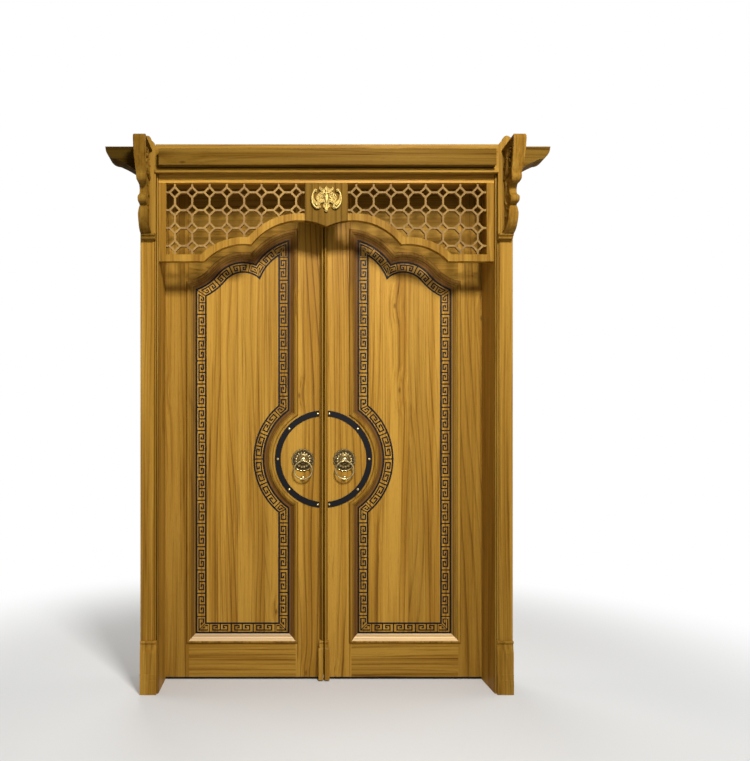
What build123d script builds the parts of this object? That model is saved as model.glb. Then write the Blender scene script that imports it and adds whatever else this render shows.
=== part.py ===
from build123d import *
import os
from math import acos, asin, atan2, cos, degrees, hypot, pi, radians, sin, sqrt

# Carved double entry doors with their frame. All sizes are in millimetres.
# X runs across the doors, Y runs into the house, Z runs up from the floor.
# Depth 0 is the front of the casings; save() moves every piece so that the depth is centred.

# Opening between the jambs
OPENING_WIDTH = 2294.0
OPENING_HEIGHT = 3553.0
SIDE = OPENING_WIDTH / 2
TOP = OPENING_HEIGHT

# Jambs and head
JAMB_THICK = 60.0
JAMB_FRONT = 22.0
JAMB_BACK = 333.0
STOP_WIDTH = 15.0
STOP_GAP = 1.0
EDGE_GAP = 3.0
FIXING_HOLE_RADIUS = 5.0

# Leaves
LEAF_THICK = 55.0
LEAF_FACE = JAMB_BACK - LEAF_THICK
LEAF_BOTTOM = 17.0
LEAF_EDGE = SIDE + STOP_WIDTH - EDGE_GAP
LEAF_TOP = TOP + STOP_WIDTH - EDGE_GAP
MEETING_GAP = 2.5
HINGE_STILE_WIDTH = 182.0
MEETING_STILE_WIDTH = 199.5
BOTTOM_RAIL_HEIGHT = 263.0
PANEL_RECESS = 18.0
PANEL_THICK = 32.0
PANEL_FACE = LEAF_FACE + PANEL_RECESS
PANEL_HEAD_DROP = 360.0

# Moulding round the panel and the key-pattern band inside it
MOULDING_REBATE = 46.0
MOULDING_FIT = 1.5
MOULDING_WIDTH = 64.0
MOULDING_PROUD = 12.0
BAND_WIDTH = 81.0
BAND_POCKET = 4.0
BAND_THICK = 2.5
CIRCLE_HEIGHT = 1597.0
CIRCLE_RADIUS = 430.0
PANEL_LINE_HINGE = LEAF_EDGE - HINGE_STILE_WIDTH - MOULDING_REBATE
PANEL_LINE_MEETING = MEETING_GAP + MEETING_STILE_WIDTH + MOULDING_REBATE
PANEL_LINE_BOTTOM = LEAF_BOTTOM + BOTTOM_RAIL_HEIGHT + MOULDING_REBATE
MITRE_REACH = 60.0
MITRE_TURN = 14.0

# Half astragal and its foot block
ASTRAGAL_GAP = 5.0
ASTRAGAL_EDGE = 30.0
ASTRAGAL_PROUD = 40.0
BLOCK_GAP = 5.8
BLOCK_EDGE = 39.0
BLOCK_PROUD = 48.0
BLOCK_BOTTOM = 10.0
BLOCK_BODY_TOP = 229.0
BLOCK_TOP = 291.0

# Iron half ring and nails
IRON_WIDTH = 42.0
IRON_MARGIN = 13.0
IRON_OUTER = CIRCLE_RADIUS - MOULDING_WIDTH - IRON_MARGIN
IRON_INNER = IRON_OUTER - IRON_WIDTH
IRON_THICK = 4.0
NAIL_RADIUS = 10.0
NAIL_HEIGHT = 6.0
NAIL_COUNT = 5
NAIL_MARGIN = 0.5

# Knocker
KNOCKER_X = 150.0
KNOCKER_Z = 1589.0
SCALLOPS = 16
SCALLOP_TIP = 84.0
SCALLOP_ROOT = 79.0
KNOCKER_PLATE = 4.0
RING_RADIUS = 65.0
RING_TUBE = 5.5
RING_TOP = 1583.0
RING_STAND = 36.0
EYE_RADIUS = 12.5
EYE_WIDTH = 12.0
EYE_CLEARANCE = 0.6
STUD_RADIUS = 14.0
STUD_Z = RING_TOP - 2 * RING_RADIUS + 11.0
STUD_CLEARANCE = 0.4

# Hinges
HINGE_COUNT = 4
HINGE_LENGTH = 150.0
HINGE_END = 255.0
KNUCKLE_RADIUS = 8.0
KNUCKLE_GAP = 0.4
KNUCKLES = 5
PIN_RADIUS = 4.0
PIN_CLEARANCE = 0.05
HINGE_PLATE = 3.0
HINGE_PLATE_DEPTH = 37.0
HINGE_X = (LEAF_EDGE + SIDE + STOP_WIDTH) / 2
HINGE_Y = JAMB_BACK + KNUCKLE_RADIUS + 0.5

# Inside bar and keepers
BAR_HEIGHT = 45.0
BAR_THICK = 30.0
BAR_START = 12.0
BAR_LENGTH = 458.0
BAR_CLEARANCE = 0.8
KEEPER_WALL = 12.0
KEEPER_WIDTH = 40.0
KEEPER_X = (60.0, 290.0)
KEEPER_FOOT = 20.0
PEG_X = 250.0
PEG_RADIUS = 9.0
PEG_LENGTH = 22.0
BAR_BACK = JAMB_BACK + BAR_CLEARANCE + BAR_THICK

# Front casings, plinths and rear casings
BEAD_WIDTH = 28.0
CASING_EDGE = 121.0
PLINTH_INNER = 11.0
PLINTH_OUTER = 122.0
PLINTH_HEIGHT = 363.0
REAR_INNER = 25.0
REAR_OUTER = 115.0
REAR_THICK = 20.0

# Crown
CROWN_BOTTOM = TOP - 8.0
CROWN_TOP = TOP + 179.0
BOARD_THICK = 20.0
BOARD_INNER = 13.0
BOARD_OUTER = 110.0
CROWN_BAND_PROUD = 35.0
CROWN_BAND_BOTTOM = TOP - 18.0
CROWN_BAND_TOP = TOP + 12.0
RAISED_PROUD = 75.0
RAISED_BOTTOM = CROWN_BAND_TOP + 2.0
RAISED_HEIGHT = 112.0
WING_PROUD = 95.0

# Scroll brackets
BRACKET_MIDDLE = 75.0
BRACKET_WEB = 40.0
BRACKET_STRAP = 18.0
BRACKET_REACH = 245.0
BRACKET_TOP = TOP + 150.0
BRACKET_FOOT = TOP - 430.0
FOOT_HEIGHT = 32.0
FOOT_PROUD = 46.0

# Valance
VALANCE_FRONT = 25.0
VALANCE_BACK = 60.0
VALANCE_STILE = 49.0
VALANCE_RAIL_BOTTOM = TOP - 62.0
VALANCE_BOTTOM = TOP - 599.0
OGEE_RAIL = 47.5
CENTRE_BLOCK = 147.0
LATTICE_COLUMNS = 8
LATTICE_ROWS = 4
LATTICE_BAR = 13.0
LATTICE_DIAMOND = 36.0
LATTICE_THICK = 18.0
BAT_THICK = 12.0
BAT_Z = TOP - 169.0

DEPTH_MIDDLE = (BAR_BACK + PEG_LENGTH - BRACKET_REACH) / 2


def outline(corners, plane):
    """Face through corners; a corner marked "arc" lies halfway along an arc."""
    edges = []
    for index, corner in enumerate(corners):
        if len(corner) == 3:
            continue
        after = corners[(index + 1) % len(corners)]
        if len(after) == 3:
            end = corners[(index + 2) % len(corners)]
            edges.append(ThreePointArc(corner, after[:2], end))
        else:
            edges.append(Line(corner, after))
    return plane * make_face(edges)


def block(x, y, z):
    """Box between three pairs of limits."""
    middle = [(low + high) / 2 for low, high in (x, y, z)]
    return Pos(*middle) * Box(x[1] - x[0], y[1] - y[0], z[1] - z[0])


def board(corners, y):
    """Upright outline of (x, z) corners, cut from a board between two depths."""
    return extrude(outline(corners, Plane.XZ.offset(-y[1])), y[1] - y[0])


def post(corners, z):
    """Level section of (x, y) corners, run between two heights."""
    return extrude(outline(corners, Plane.XY.offset(z[0])), z[1] - z[0])


def beam(corners, x):
    """Section of (projection, z) corners, run between two places across the door."""
    section = [(-corner[0], *corner[1:]) for corner in corners]
    return extrude(outline(section, Plane.YZ.offset(x[0])), x[1] - x[0])


def turned(corners, x, y, z):
    """Round piece from (radius, height) corners, standing out of a face at depth y."""
    plane = Plane(origin=(x, y, z), x_dir=(1, 0, 0), z_dir=(0, 0, -1))
    return revolve(outline(corners, plane), Axis((x, y, z), (0, 1, 0)))


def dome(radius, height, base=0.0):
    """Corners of a dome whose round top is one arc."""
    ball = (radius**2 + height**2) / (2 * height)
    half = asin(min(1.0, radius / ball)) / 2
    middle = (ball * sin(half), base + height - ball * (1 - cos(half)), "arc")
    wall = [(radius, base)] if base else []
    return [(0, 0), (radius, 0), *wall, middle, (0, base + height)]


def rod(radius, x, y, z):
    """Upright rod between two heights."""
    return Pos(x, y, (z[0] + z[1]) / 2) * Cylinder(radius, z[1] - z[0])


def save(name, *pieces):
    """Write one node, with its depth centred."""
    solids = [solid for piece in pieces for solid in piece.solids()]
    node = solids[0] if len(solids) == 1 else Compound(solids)
    export_step(Pos(0, -DEPTH_MIDDLE, 0) * node, f"parts/{name}.step")


def save_pair(left, right, *pieces):
    """Write a node made for the right side and its mirror on the left side."""
    save(right, *pieces)
    save(left, *[mirror(piece, about=Plane.YZ) for piece in pieces])


def circle_through(a, b, c):
    """Centre and radius of the circle through three points."""
    twice = 2 * (a[0] * (b[1] - c[1]) + b[0] * (c[1] - a[1]) + c[0] * (a[1] - b[1]))
    squares = [point[0] ** 2 + point[1] ** 2 for point in (a, b, c)]
    x = squares[0] * (b[1] - c[1]) + squares[1] * (c[1] - a[1]) + squares[2] * (a[1] - b[1])
    z = squares[0] * (c[0] - b[0]) + squares[1] * (a[0] - c[0]) + squares[2] * (b[0] - a[0])
    x, z = x / twice, z / twice
    return x, z, hypot(a[0] - x, a[1] - z)


def crossing(first, second, near):
    """Crossing of two circles that lies nearer to a point."""
    x, z, radius = first
    gap = hypot(second[0] - x, second[1] - z)
    along = (gap**2 + radius**2 - second[2] ** 2) / (2 * gap)
    side = sqrt(radius**2 - along**2)
    ux, uz = (second[0] - x) / gap, (second[1] - z) / gap
    found = [(x + along * ux - s * uz, z + along * uz + s * ux) for s in (side, -side)]
    return min(found, key=lambda point: hypot(point[0] - near[0], point[1] - near[1]))


def halfway(circle, start, end):
    """Corner halfway along the shorter arc between two points of a circle."""
    x, z, radius = circle
    dx, dz = (start[0] + end[0]) / 2 - x, (start[1] + end[1]) / 2 - z
    reach = radius / hypot(dx, dz)
    return x + dx * reach, z + dz * reach, "arc"


def over(circle, x):
    """Height of the upper half of a circle at x."""
    return circle[1] + sqrt(circle[2] ** 2 - (x - circle[0]) ** 2)


def hinge_heights():
    """Middle heights of the hinges, the end ones a fixed distance from the leaf's ends."""
    low, high = LEAF_BOTTOM + HINGE_END, LEAF_TOP - HINGE_END
    step = (high - low) / (HINGE_COUNT - 1)
    return [low + step * index for index in range(HINGE_COUNT)]


def fixing_heights():
    """Heights of the screw holes in the jambs: two below and two above the middle."""
    return [TOP * share for share in (0.14, 0.28, 0.72, 0.86)]


# Frame


def jamb():
    """Right jamb with its stop, hinge mortises and screw holes."""
    face = SIDE + STOP_WIDTH
    section = [
        (SIDE, JAMB_FRONT),
        (SIDE + JAMB_THICK, JAMB_FRONT),
        (SIDE + JAMB_THICK, JAMB_BACK),
        (face, JAMB_BACK),
        (face, LEAF_FACE - STOP_GAP),
        (SIDE, LEAF_FACE - STOP_GAP),
    ]
    piece = post(section, (0, TOP))
    for z in hinge_heights():
        piece -= hinge_plate(face, face + HINGE_PLATE, z)
    for z in fixing_heights():
        hole = Cylinder(FIXING_HOLE_RADIUS, 2 * JAMB_THICK)
        piece -= Pos(face, (LEAF_FACE + JAMB_BACK) / 2, z) * Rot(0, 90, 0) * hole
    return piece


def head():
    """Head over both jambs, with the stop for the leaves."""
    width = SIDE + JAMB_THICK
    piece = block((-width, width), (JAMB_FRONT, JAMB_BACK), (TOP, TOP + JAMB_THICK))
    face = SIDE + STOP_WIDTH
    return piece - block((-face, face), (LEAF_FACE - STOP_GAP, JAMB_BACK), (TOP, TOP + STOP_WIDTH))


def casing():
    """Right casing with a double bead along the opening, cut away over the plinth."""
    outer = SIDE + CASING_EDGE
    inner = SIDE + BEAD_WIDTH
    section = [
        (outer, JAMB_FRONT),
        (outer, 4),
        (outer - 1.2, 1.2, "arc"),
        (outer - 4, 0),
        (inner + 3, 0),
        (inner, 3),
        (inner, 12),
        (inner - 6.5, 7, "arc"),
        (inner - 13, 12),
        (inner - 15, 12),
        (inner - 20.5, 7.5, "arc"),
        (SIDE + 2, 12),
        (SIDE, 14),
        (SIDE, JAMB_FRONT),
    ]
    lower = post(section, (0, CROWN_BOTTOM))
    lower -= block((SIDE + PLINTH_INNER, outer), (0, JAMB_FRONT), (0, PLINTH_HEIGHT))
    upper = block((SIDE + BOARD_INNER, outer), (0, JAMB_FRONT), (CROWN_BOTTOM, CROWN_TOP))
    return lower + upper


def plinth():
    """Right plinth block: base, die, shoulder, neck and top bead."""
    profile = [
        (-JAMB_FRONT, 0),
        (16, 0),
        (16, 97),
        (14, 99),
        (14, 137),
        (12, 139),
        (12, PLINTH_HEIGHT - 84),
        (3, PLINTH_HEIGHT - 34),
        (3, PLINTH_HEIGHT - 18),
        (12, PLINTH_HEIGHT - 9, "arc"),
        (3, PLINTH_HEIGHT),
        (-JAMB_FRONT, PLINTH_HEIGHT),
    ]
    return beam(profile, (SIDE + PLINTH_INNER, SIDE + PLINTH_OUTER))


def rear_casing():
    """Right casing on the inner side."""
    x = (SIDE + REAR_INNER, SIDE + REAR_OUTER)
    return block(x, (JAMB_BACK, JAMB_BACK + REAR_THICK), (0, TOP + REAR_OUTER))


def rear_head_casing():
    """Casing over the leaves on the inner side, between the side casings."""
    x = (-SIDE - REAR_INNER, SIDE + REAR_INNER)
    return block(x, (JAMB_BACK, JAMB_BACK + REAR_THICK), (TOP + REAR_INNER, TOP + REAR_OUTER))


def crown_backing():
    """Long board of the crown with the flat band along its foot, its edges rounded."""
    width = SIDE + BOARD_INNER
    edge = CROWN_BAND_PROUD
    profile = [
        (-JAMB_FRONT, CROWN_BOTTOM),
        (BOARD_THICK, CROWN_BOTTOM),
        (BOARD_THICK, CROWN_BAND_BOTTOM),
        (edge - 5, CROWN_BAND_BOTTOM),
        (edge - 1.5, CROWN_BAND_BOTTOM + 1.5, "arc"),
        (edge, CROWN_BAND_BOTTOM + 5),
        (edge, CROWN_BAND_TOP - 5),
        (edge - 1.5, CROWN_BAND_TOP - 1.5, "arc"),
        (edge - 5, CROWN_BAND_TOP),
        (BOARD_THICK, CROWN_BAND_TOP),
        (BOARD_THICK, CROWN_TOP),
        (-JAMB_FRONT, CROWN_TOP),
    ]
    return beam(profile, (-width, width))


def crown_board():
    """Raised front board of the crown, undercut along its lower edge."""
    width = SIDE - 18.0
    top = RAISED_BOTTOM + RAISED_HEIGHT
    profile = [
        (BOARD_THICK, RAISED_BOTTOM + 5),
        (RAISED_PROUD - 12, RAISED_BOTTOM + 5),
        (RAISED_PROUD - 8, RAISED_BOTTOM),
        (RAISED_PROUD - 3, RAISED_BOTTOM),
        (RAISED_PROUD, RAISED_BOTTOM + 3),
        (RAISED_PROUD, top - 4),
        (RAISED_PROUD - 4, top),
        (BOARD_THICK, top),
    ]
    return beam(profile, (-width, width))


def wing():
    """Right wing of the crown, with its S-shaped lower edge, notched round the casing."""
    inner = SIDE + BOARD_OUTER
    corners = [
        (inner, TOP + 127),
        (SIDE + 334, TOP + 127),
        (SIDE + 331, TOP + 112),
        (SIDE + 309, TOP + 64, "arc"),
        (SIDE + 260, TOP + 43),
        (SIDE + 196, TOP + 13, "arc"),
        (inner, TOP - 45),
    ]
    piece = board(corners, (-WING_PROUD, JAMB_FRONT))
    return piece - block((inner, SIDE + CASING_EDGE), (0, JAMB_FRONT), (TOP - 60, TOP + 140))


def bracket_board():
    """Right back board of the scroll bracket, with an ear-shaped top."""
    inner, outer = SIDE + BOARD_INNER, SIDE + BOARD_OUTER
    corners = [
        (inner, BRACKET_FOOT),
        (outer, BRACKET_FOOT),
        (outer, TOP + 190),
        (outer - 10, TOP + 222, "arc"),
        (outer - 40, TOP + 238),
        (outer - 60, TOP + 228, "arc"),
        (outer - 68, TOP + 206),
        (inner + 9.6, TOP + 189, "arc"),
        (inner, TOP + 165),
    ]
    return board(corners, (-BOARD_THICK, 0))


def bracket_profile():
    """Side of the scroll bracket: foot, lower scroll, two noses and the tall head."""
    return [
        (BOARD_THICK, BRACKET_FOOT),
        (FOOT_PROUD + 2, BRACKET_FOOT),
        (108, TOP - 392, "arc"),
        (132, TOP - 330),
        (132, TOP - 298, "arc"),
        (120, TOP - 271),
        (128, TOP - 262),
        (163, TOP - 246, "arc"),
        (150, TOP - 216),
        (121, TOP - 172, "arc"),
        (142, TOP - 134),
        (188, TOP - 122, "arc"),
        (186, TOP - 88),
        (190, TOP - 74),
        (226, TOP + 20, "arc"),
        (BRACKET_REACH, TOP + 106),
        (BRACKET_REACH - 10, BRACKET_TOP - 12, "arc"),
        (BRACKET_REACH - 42, BRACKET_TOP),
        (BOARD_THICK, BRACKET_TOP),
    ]


def bracket_front():
    """Front of the strap: wide at its head and foot, and narrow above and below the second nose."""
    half = [
        (36, BRACKET_FOOT),
        (33, TOP - 385),
        (33, TOP - 330),
        (23, TOP - 276),
        (28, TOP - 256),
        (28, TOP - 236),
        (24, TOP - 205),
        (24, TOP - 142),
        (31, TOP - 126),
        (31, TOP - 92),
        (34, TOP - 72),
        (40, TOP + 40),
        (40, BRACKET_TOP - 22),
        (36, BRACKET_TOP - 6, "arc"),
        (22, BRACKET_TOP),
    ]
    middle = SIDE + BRACKET_MIDDLE
    right = [(middle + corner[0], *corner[1:]) for corner in half]
    left = [(middle - corner[0], *corner[1:]) for corner in half]
    return right + left[::-1]


def bracket():
    """Right scroll bracket: a shaped strap bent round a narrower pierced web, on a moulded foot."""
    upper_hole = [
        (BOARD_THICK + 22, TOP - 62),
        (BOARD_THICK + 70, TOP - 70, "arc"),
        (BOARD_THICK + 106, TOP - 24),
        (BOARD_THICK + 132, TOP + 40, "arc"),
        (BOARD_THICK + 138, TOP + 96),
        (BOARD_THICK + 92, TOP + 116, "arc"),
        (BOARD_THICK + 54, TOP + 84),
        (BOARD_THICK + 26, TOP + 12, "arc"),
    ]
    lower_hole = [
        (BOARD_THICK + 20, TOP - 356),
        (BOARD_THICK + 62, TOP - 350, "arc"),
        (BOARD_THICK + 76, TOP - 308),
        (BOARD_THICK + 52, TOP - 262, "arc"),
        (BOARD_THICK + 24, TOP - 244),
        (BOARD_THICK + 18, TOP - 300, "arc"),
    ]
    middle = SIDE + BRACKET_MIDDLE
    web = (middle - BRACKET_WEB / 2, middle + BRACKET_WEB / 2)
    side = outline([(-corner[0], *corner[1:]) for corner in bracket_profile()], Plane.YZ)
    strap = extrude(side - offset(side, amount=-BRACKET_STRAP), middle + BRACKET_WEB * 2)
    strap &= board(bracket_front(), (-BRACKET_REACH, -BOARD_THICK))
    back = (-BOARD_THICK - BRACKET_STRAP - 1, -BOARD_THICK)
    strap -= block((SIDE, middle + BRACKET_WEB), back, (BRACKET_FOOT + BRACKET_STRAP, BRACKET_TOP - BRACKET_STRAP))
    piece = strap + beam(bracket_profile(), web) - beam(upper_hole, web) - beam(lower_hole, web)
    low = BRACKET_FOOT - FOOT_HEIGHT
    foot = [
        (0, low),
        (FOOT_PROUD - 16, low),
        (FOOT_PROUD - 12, low + 14),
        (FOOT_PROUD - 6, low + 16),
        (FOOT_PROUD, low + 25, "arc"),
        (FOOT_PROUD - 4, BRACKET_FOOT),
        (0, BRACKET_FOOT),
    ]
    return piece + beam(foot, (SIDE + BOARD_INNER, SIDE + BOARD_OUTER))


# Valance


def ogee_circles(grow):
    """Circles of the two arcs under the valance, in the opening's proportion, made larger by grow."""
    scale = SIDE / 1147
    near = (182 * scale, VALANCE_BOTTOM - 136 * scale, 417 * scale + grow)
    far = (563 * scale, VALANCE_BOTTOM - 257 * scale, 376 * scale + grow)
    return near, far


def ogee_corners(grow, level):
    """Edge of the ogee rail from the centre block out to where its straight part starts."""
    near, far = ogee_circles(grow)
    start = (CENTRE_BLOCK, over(near, CENTRE_BLOCK))
    cusp = crossing(near, far, (near[0] + near[2] * 0.8, near[1] + near[2] * 0.6))
    end = (far[0] + sqrt(far[2] ** 2 - (level - far[1]) ** 2), level)
    return [start, halfway(near, start, cusp), cusp, halfway(far, cusp, end), end]


def valance_rail():
    """Right ogee rail under the lattice."""
    edge = SIDE - VALANCE_STILE
    level = VALANCE_BOTTOM + OGEE_RAIL
    lower = ogee_corners(0, VALANCE_BOTTOM) + [(edge, VALANCE_BOTTOM)]
    upper = ogee_corners(OGEE_RAIL, level) + [(edge, level)]
    return board(lower + upper[::-1], (VALANCE_FRONT, VALANCE_BACK))


def valance_stile():
    """Right stile of the valance."""
    x = (SIDE - VALANCE_STILE, SIDE)
    return block(x, (VALANCE_FRONT, VALANCE_BACK), (VALANCE_BOTTOM, VALANCE_RAIL_BOTTOM))


def valance_top_rail():
    """Top rail of the valance, under the head."""
    return block((-SIDE, SIDE), (VALANCE_FRONT, VALANCE_BACK), (VALANCE_RAIL_BOTTOM, TOP))


def centre_block():
    """Block between the lattices, pointed at its foot."""
    near = ogee_circles(0)[0]
    corner, tip = (CENTRE_BLOCK, over(near, CENTRE_BLOCK)), (0, over(near, 0))
    bend = halfway(near, corner, tip)
    corners = [
        (-CENTRE_BLOCK, VALANCE_RAIL_BOTTOM),
        (CENTRE_BLOCK, VALANCE_RAIL_BOTTOM),
        corner,
        bend,
        tip,
        (-bend[0], *bend[1:]),
        (-corner[0], corner[1]),
    ]
    return board(corners, (VALANCE_FRONT, VALANCE_BACK))


def lattice():
    """Right lattice: bars left between the diamond and the eight-sided openings."""
    edge = SIDE - VALANCE_STILE
    level = VALANCE_BOTTOM + OGEE_RAIL
    area = ogee_corners(OGEE_RAIL, level) + [
        (edge, level),
        (edge, VALANCE_RAIL_BOTTOM),
        (CENTRE_BLOCK, VALANCE_RAIL_BOTTOM),
    ]
    across = (edge - CENTRE_BLOCK) / LATTICE_COLUMNS
    rise = (VALANCE_RAIL_BOTTOM - level) / LATTICE_ROWS
    half = LATTICE_BAR / 2
    small = LATTICE_DIAMOND - LATTICE_BAR / sqrt(2)
    cut = LATTICE_DIAMOND + LATTICE_BAR / sqrt(2) - half
    wide, tall = across / 2 - half, rise / 2 - half
    eight = [
        (wide, rise / 2 - cut),
        (across / 2 - cut, tall),
        (cut - across / 2, tall),
        (-wide, rise / 2 - cut),
        (-wide, cut - rise / 2),
        (cut - across / 2, -tall),
        (across / 2 - cut, -tall),
        (wide, cut - rise / 2),
    ]
    diamond = [(small, 0), (0, small), (-small, 0), (0, -small)]
    openings = []
    for column in range(LATTICE_COLUMNS + 1):
        for row in range(LATTICE_ROWS + 1):
            x, z = CENTRE_BLOCK + column * across, level + row * rise
            openings.append(outline([(x + a, z + b) for a, b in eight], Plane.XY))
            if column < LATTICE_COLUMNS and row < LATTICE_ROWS:
                x, z = x + across / 2, z + rise / 2
                openings.append(outline([(x + a, z + b) for a, b in diamond], Plane.XY))
    bars = outline(area, Plane.XY) - openings
    back = (VALANCE_FRONT + VALANCE_BACK + LATTICE_THICK) / 2
    piece = extrude(Plane.XZ.offset(-back) * bars, LATTICE_THICK)
    return Compound([solid for solid in piece.solids() if solid.volume > 60 * LATTICE_THICK])


def bat():
    """Gilded bat: crest, horns, crescent wings and tail."""
    half = [
        (0, 80),
        (9, 71),
        (12, 57),
        (27, 55, "arc"),
        (38, 78),
        (43, 76),
        (48, 60, "arc"),
        (29, 49),
        (26, 44),
        (42, 39, "arc"),
        (55, 25),
        (63, 17),
        (71, 2, "arc"),
        (65, -15),
        (68, -26),
        (88, 4, "arc"),
        (77, 42),
        (66, 45),
        (68, 57),
        (80, 63),
        (104, 4, "arc"),
        (66, -73),
        (52, -77),
        (35, -62),
        (44, -44, "arc"),
        (30, -32),
        (17, -27),
        (10, -42),
        (22, -46),
        (21, -62, "arc"),
        (12, -70),
        (13, -88),
        (0, -98),
    ]
    corners = [(corner[0], BAT_Z + corner[1], *corner[2:]) for corner in half]
    right = board(corners, (VALANCE_FRONT - BAT_THICK, VALANCE_FRONT))
    return right + mirror(right, about=Plane.YZ)


# Leaf, made for the right side


def head_circles():
    """Three circles of the panel head: two that bulge up and one that sags to the hinge side."""
    bay = PANEL_LINE_HINGE - PANEL_LINE_MEETING
    top = TOP - PANEL_HEAD_DROP

    def place(across, drop):
        return PANEL_LINE_MEETING + across * bay, top - drop * bay

    first = circle_through(place(0, 0), place(0.205, 0.094), place(0.360, 0.256))
    second = circle_through(place(0.360, 0.256), place(0.586, 0.245), place(0.772, 0.366))
    turn, end = place(0.772, 0.366), place(1, 0.523)
    ux, uz = (turn[0] - second[0]) / second[2], (turn[1] - second[1]) / second[2]
    dx, dz = end[0] - turn[0], end[1] - turn[1]
    sag = (dx**2 + dz**2) / (2 * (dx * ux + dz * uz))
    return first, second, (turn[0] + ux * sag, turn[1] + uz * sag, sag)


def panel_sides(out):
    """Sides of the panel line moved out by a distance, clockwise from the top of the meeting side.

    Each side is its start, its end and its circle, which is None for a straight side.
    """
    first, second, third = head_circles()
    near = crossing(first, second, (PANEL_LINE_HINGE, TOP))
    first = (*first[:2], first[2] + out)
    second = (*second[:2], second[2] + out)
    third = (*third[:2], third[2] - out)
    round_cut = (0, CIRCLE_HEIGHT, CIRCLE_RADIUS - out)
    meeting, hinge = PANEL_LINE_MEETING - out, PANEL_LINE_HINGE + out
    start = (meeting, over(first, meeting))
    cusp = crossing(first, second, near)
    gap = hypot(third[0] - second[0], third[1] - second[1])
    turn = (
        second[0] + (third[0] - second[0]) * second[2] / gap,
        second[1] + (third[1] - second[1]) * second[2] / gap,
    )
    end = (hinge, third[1] - sqrt(third[2] ** 2 - (hinge - third[0]) ** 2))
    low = (hinge, PANEL_LINE_BOTTOM - out)
    foot = (meeting, PANEL_LINE_BOTTOM - out)
    rise = sqrt(round_cut[2] ** 2 - meeting**2)
    under = (meeting, CIRCLE_HEIGHT - rise)
    above = (meeting, CIRCLE_HEIGHT + rise)
    return [
        (start, cusp, first),
        (cusp, turn, second),
        (turn, end, third),
        (end, low, None),
        (low, foot, None),
        (foot, under, None),
        (under, above, round_cut),
        (above, start, None),
    ]


def side_corners(sides):
    """Corners of a run of sides, with the arcs marked."""
    corners = []
    for start, end, circle in sides:
        corners.append(start)
        if circle:
            corners.append(halfway(circle, start, end))
    return corners


def hinge_plate(inner, outer, z):
    """Hinge plate between two x limits, its length centred at a height."""
    y = (JAMB_BACK - HINGE_PLATE_DEPTH, JAMB_BACK)
    return block((inner, outer), y, (z - HINGE_LENGTH / 2, z + HINGE_LENGTH / 2))


def hinge_stile():
    """Stile on the hinge side, with the hinge mortises."""
    x = (LEAF_EDGE - HINGE_STILE_WIDTH, LEAF_EDGE)
    piece = block(x, (LEAF_FACE, JAMB_BACK), (LEAF_BOTTOM, LEAF_TOP))
    for z in hinge_heights():
        piece -= hinge_plate(LEAF_EDGE - HINGE_PLATE, LEAF_EDGE, z)
    return piece


def meeting_stile():
    """Stile on the meeting side, swollen to a half disc at the knocker."""
    start, end, circle = panel_sides(MOULDING_REBATE)[6]
    corners = [
        (MEETING_GAP, LEAF_BOTTOM),
        (start[0], LEAF_BOTTOM),
        start,
        halfway(circle, start, end),
        end,
        (end[0], LEAF_TOP),
        (MEETING_GAP, LEAF_TOP),
    ]
    return board(corners, (LEAF_FACE, JAMB_BACK))


def bottom_rail():
    """Bottom rail between the stiles."""
    x = (PANEL_LINE_MEETING - MOULDING_REBATE, PANEL_LINE_HINGE + MOULDING_REBATE)
    z = (LEAF_BOTTOM, LEAF_BOTTOM + BOTTOM_RAIL_HEIGHT)
    return block(x, (LEAF_FACE, JAMB_BACK), z)


def top_rail():
    """Top rail between the stiles, its lower edge shaped to the panel head."""
    sides = panel_sides(MOULDING_REBATE)[:3]
    end = sides[-1][1]
    corners = side_corners(sides) + [end, (end[0], LEAF_TOP), (sides[0][0][0], LEAF_TOP)]
    return board(corners, (LEAF_FACE, JAMB_BACK))


def panel():
    """Panel set between the stiles and rails, with a pocket for the band."""
    pocket = (PANEL_FACE, PANEL_FACE + BAND_POCKET)
    whole = board(side_corners(panel_sides(MOULDING_REBATE)), (PANEL_FACE, PANEL_FACE + PANEL_THICK))
    whole -= board(side_corners(panel_sides(0)), pocket)
    return whole + board(side_corners(panel_sides(-BAND_WIDTH)), pocket)


def fret_band():
    """Dark ground of the key pattern, laid in the panel's pocket."""
    floor = PANEL_FACE + BAND_POCKET
    depth = (floor - BAND_THICK, floor)
    return board(side_corners(panel_sides(0)), depth) - board(
        side_corners(panel_sides(-BAND_WIDTH)), depth
    )


def moulding_section(at, along):
    """Section of the moulding at a point of the panel line, square to its run."""
    plane = Plane(
        origin=(at[0], LEAF_FACE, at[1]),
        x_dir=(-along[1], 0, along[0]),
        z_dir=(along[0], 0, along[1]),
    )
    low = -PANEL_RECESS
    corners = [
        (0, low),
        (0, low + 4),
        (7, low + 4),
        (22, low + 8, "arc"),
        (33, low + 22),
        (37, low + 23),
        (39, low + 26),
        (50, MOULDING_PROUD, "arc"),
        (MOULDING_WIDTH, MOULDING_PROUD - 8),
        (MOULDING_WIDTH, 0),
        (MOULDING_REBATE - MOULDING_FIT, 0),
        (MOULDING_REBATE - MOULDING_FIT, low),
    ]
    return outline(corners, plane)


def mitre_waste(joint, keep):
    """Block beyond a mitre, on the side away from the length that is kept."""
    (x, z), (far_x, far_z) = joint
    size = hypot(far_x - x, far_z - z)
    ax, az = (far_x - x) / size, (far_z - z) / size
    cx, cz = -az, ax
    if (keep[0] - x) * cx + (keep[1] - z) * cz > 0:
        cx, cz = -cx, -cz
    reach = 4 * MITRE_REACH
    near = (x - ax * reach, z - az * reach)
    far = (x + ax * reach, z + az * reach)
    corners = [near, far, (far[0] + cx * reach, far[1] + cz * reach), (near[0] + cx * reach, near[1] + cz * reach)]
    return board(corners, (LEAF_FACE - 50, JAMB_BACK))


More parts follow.
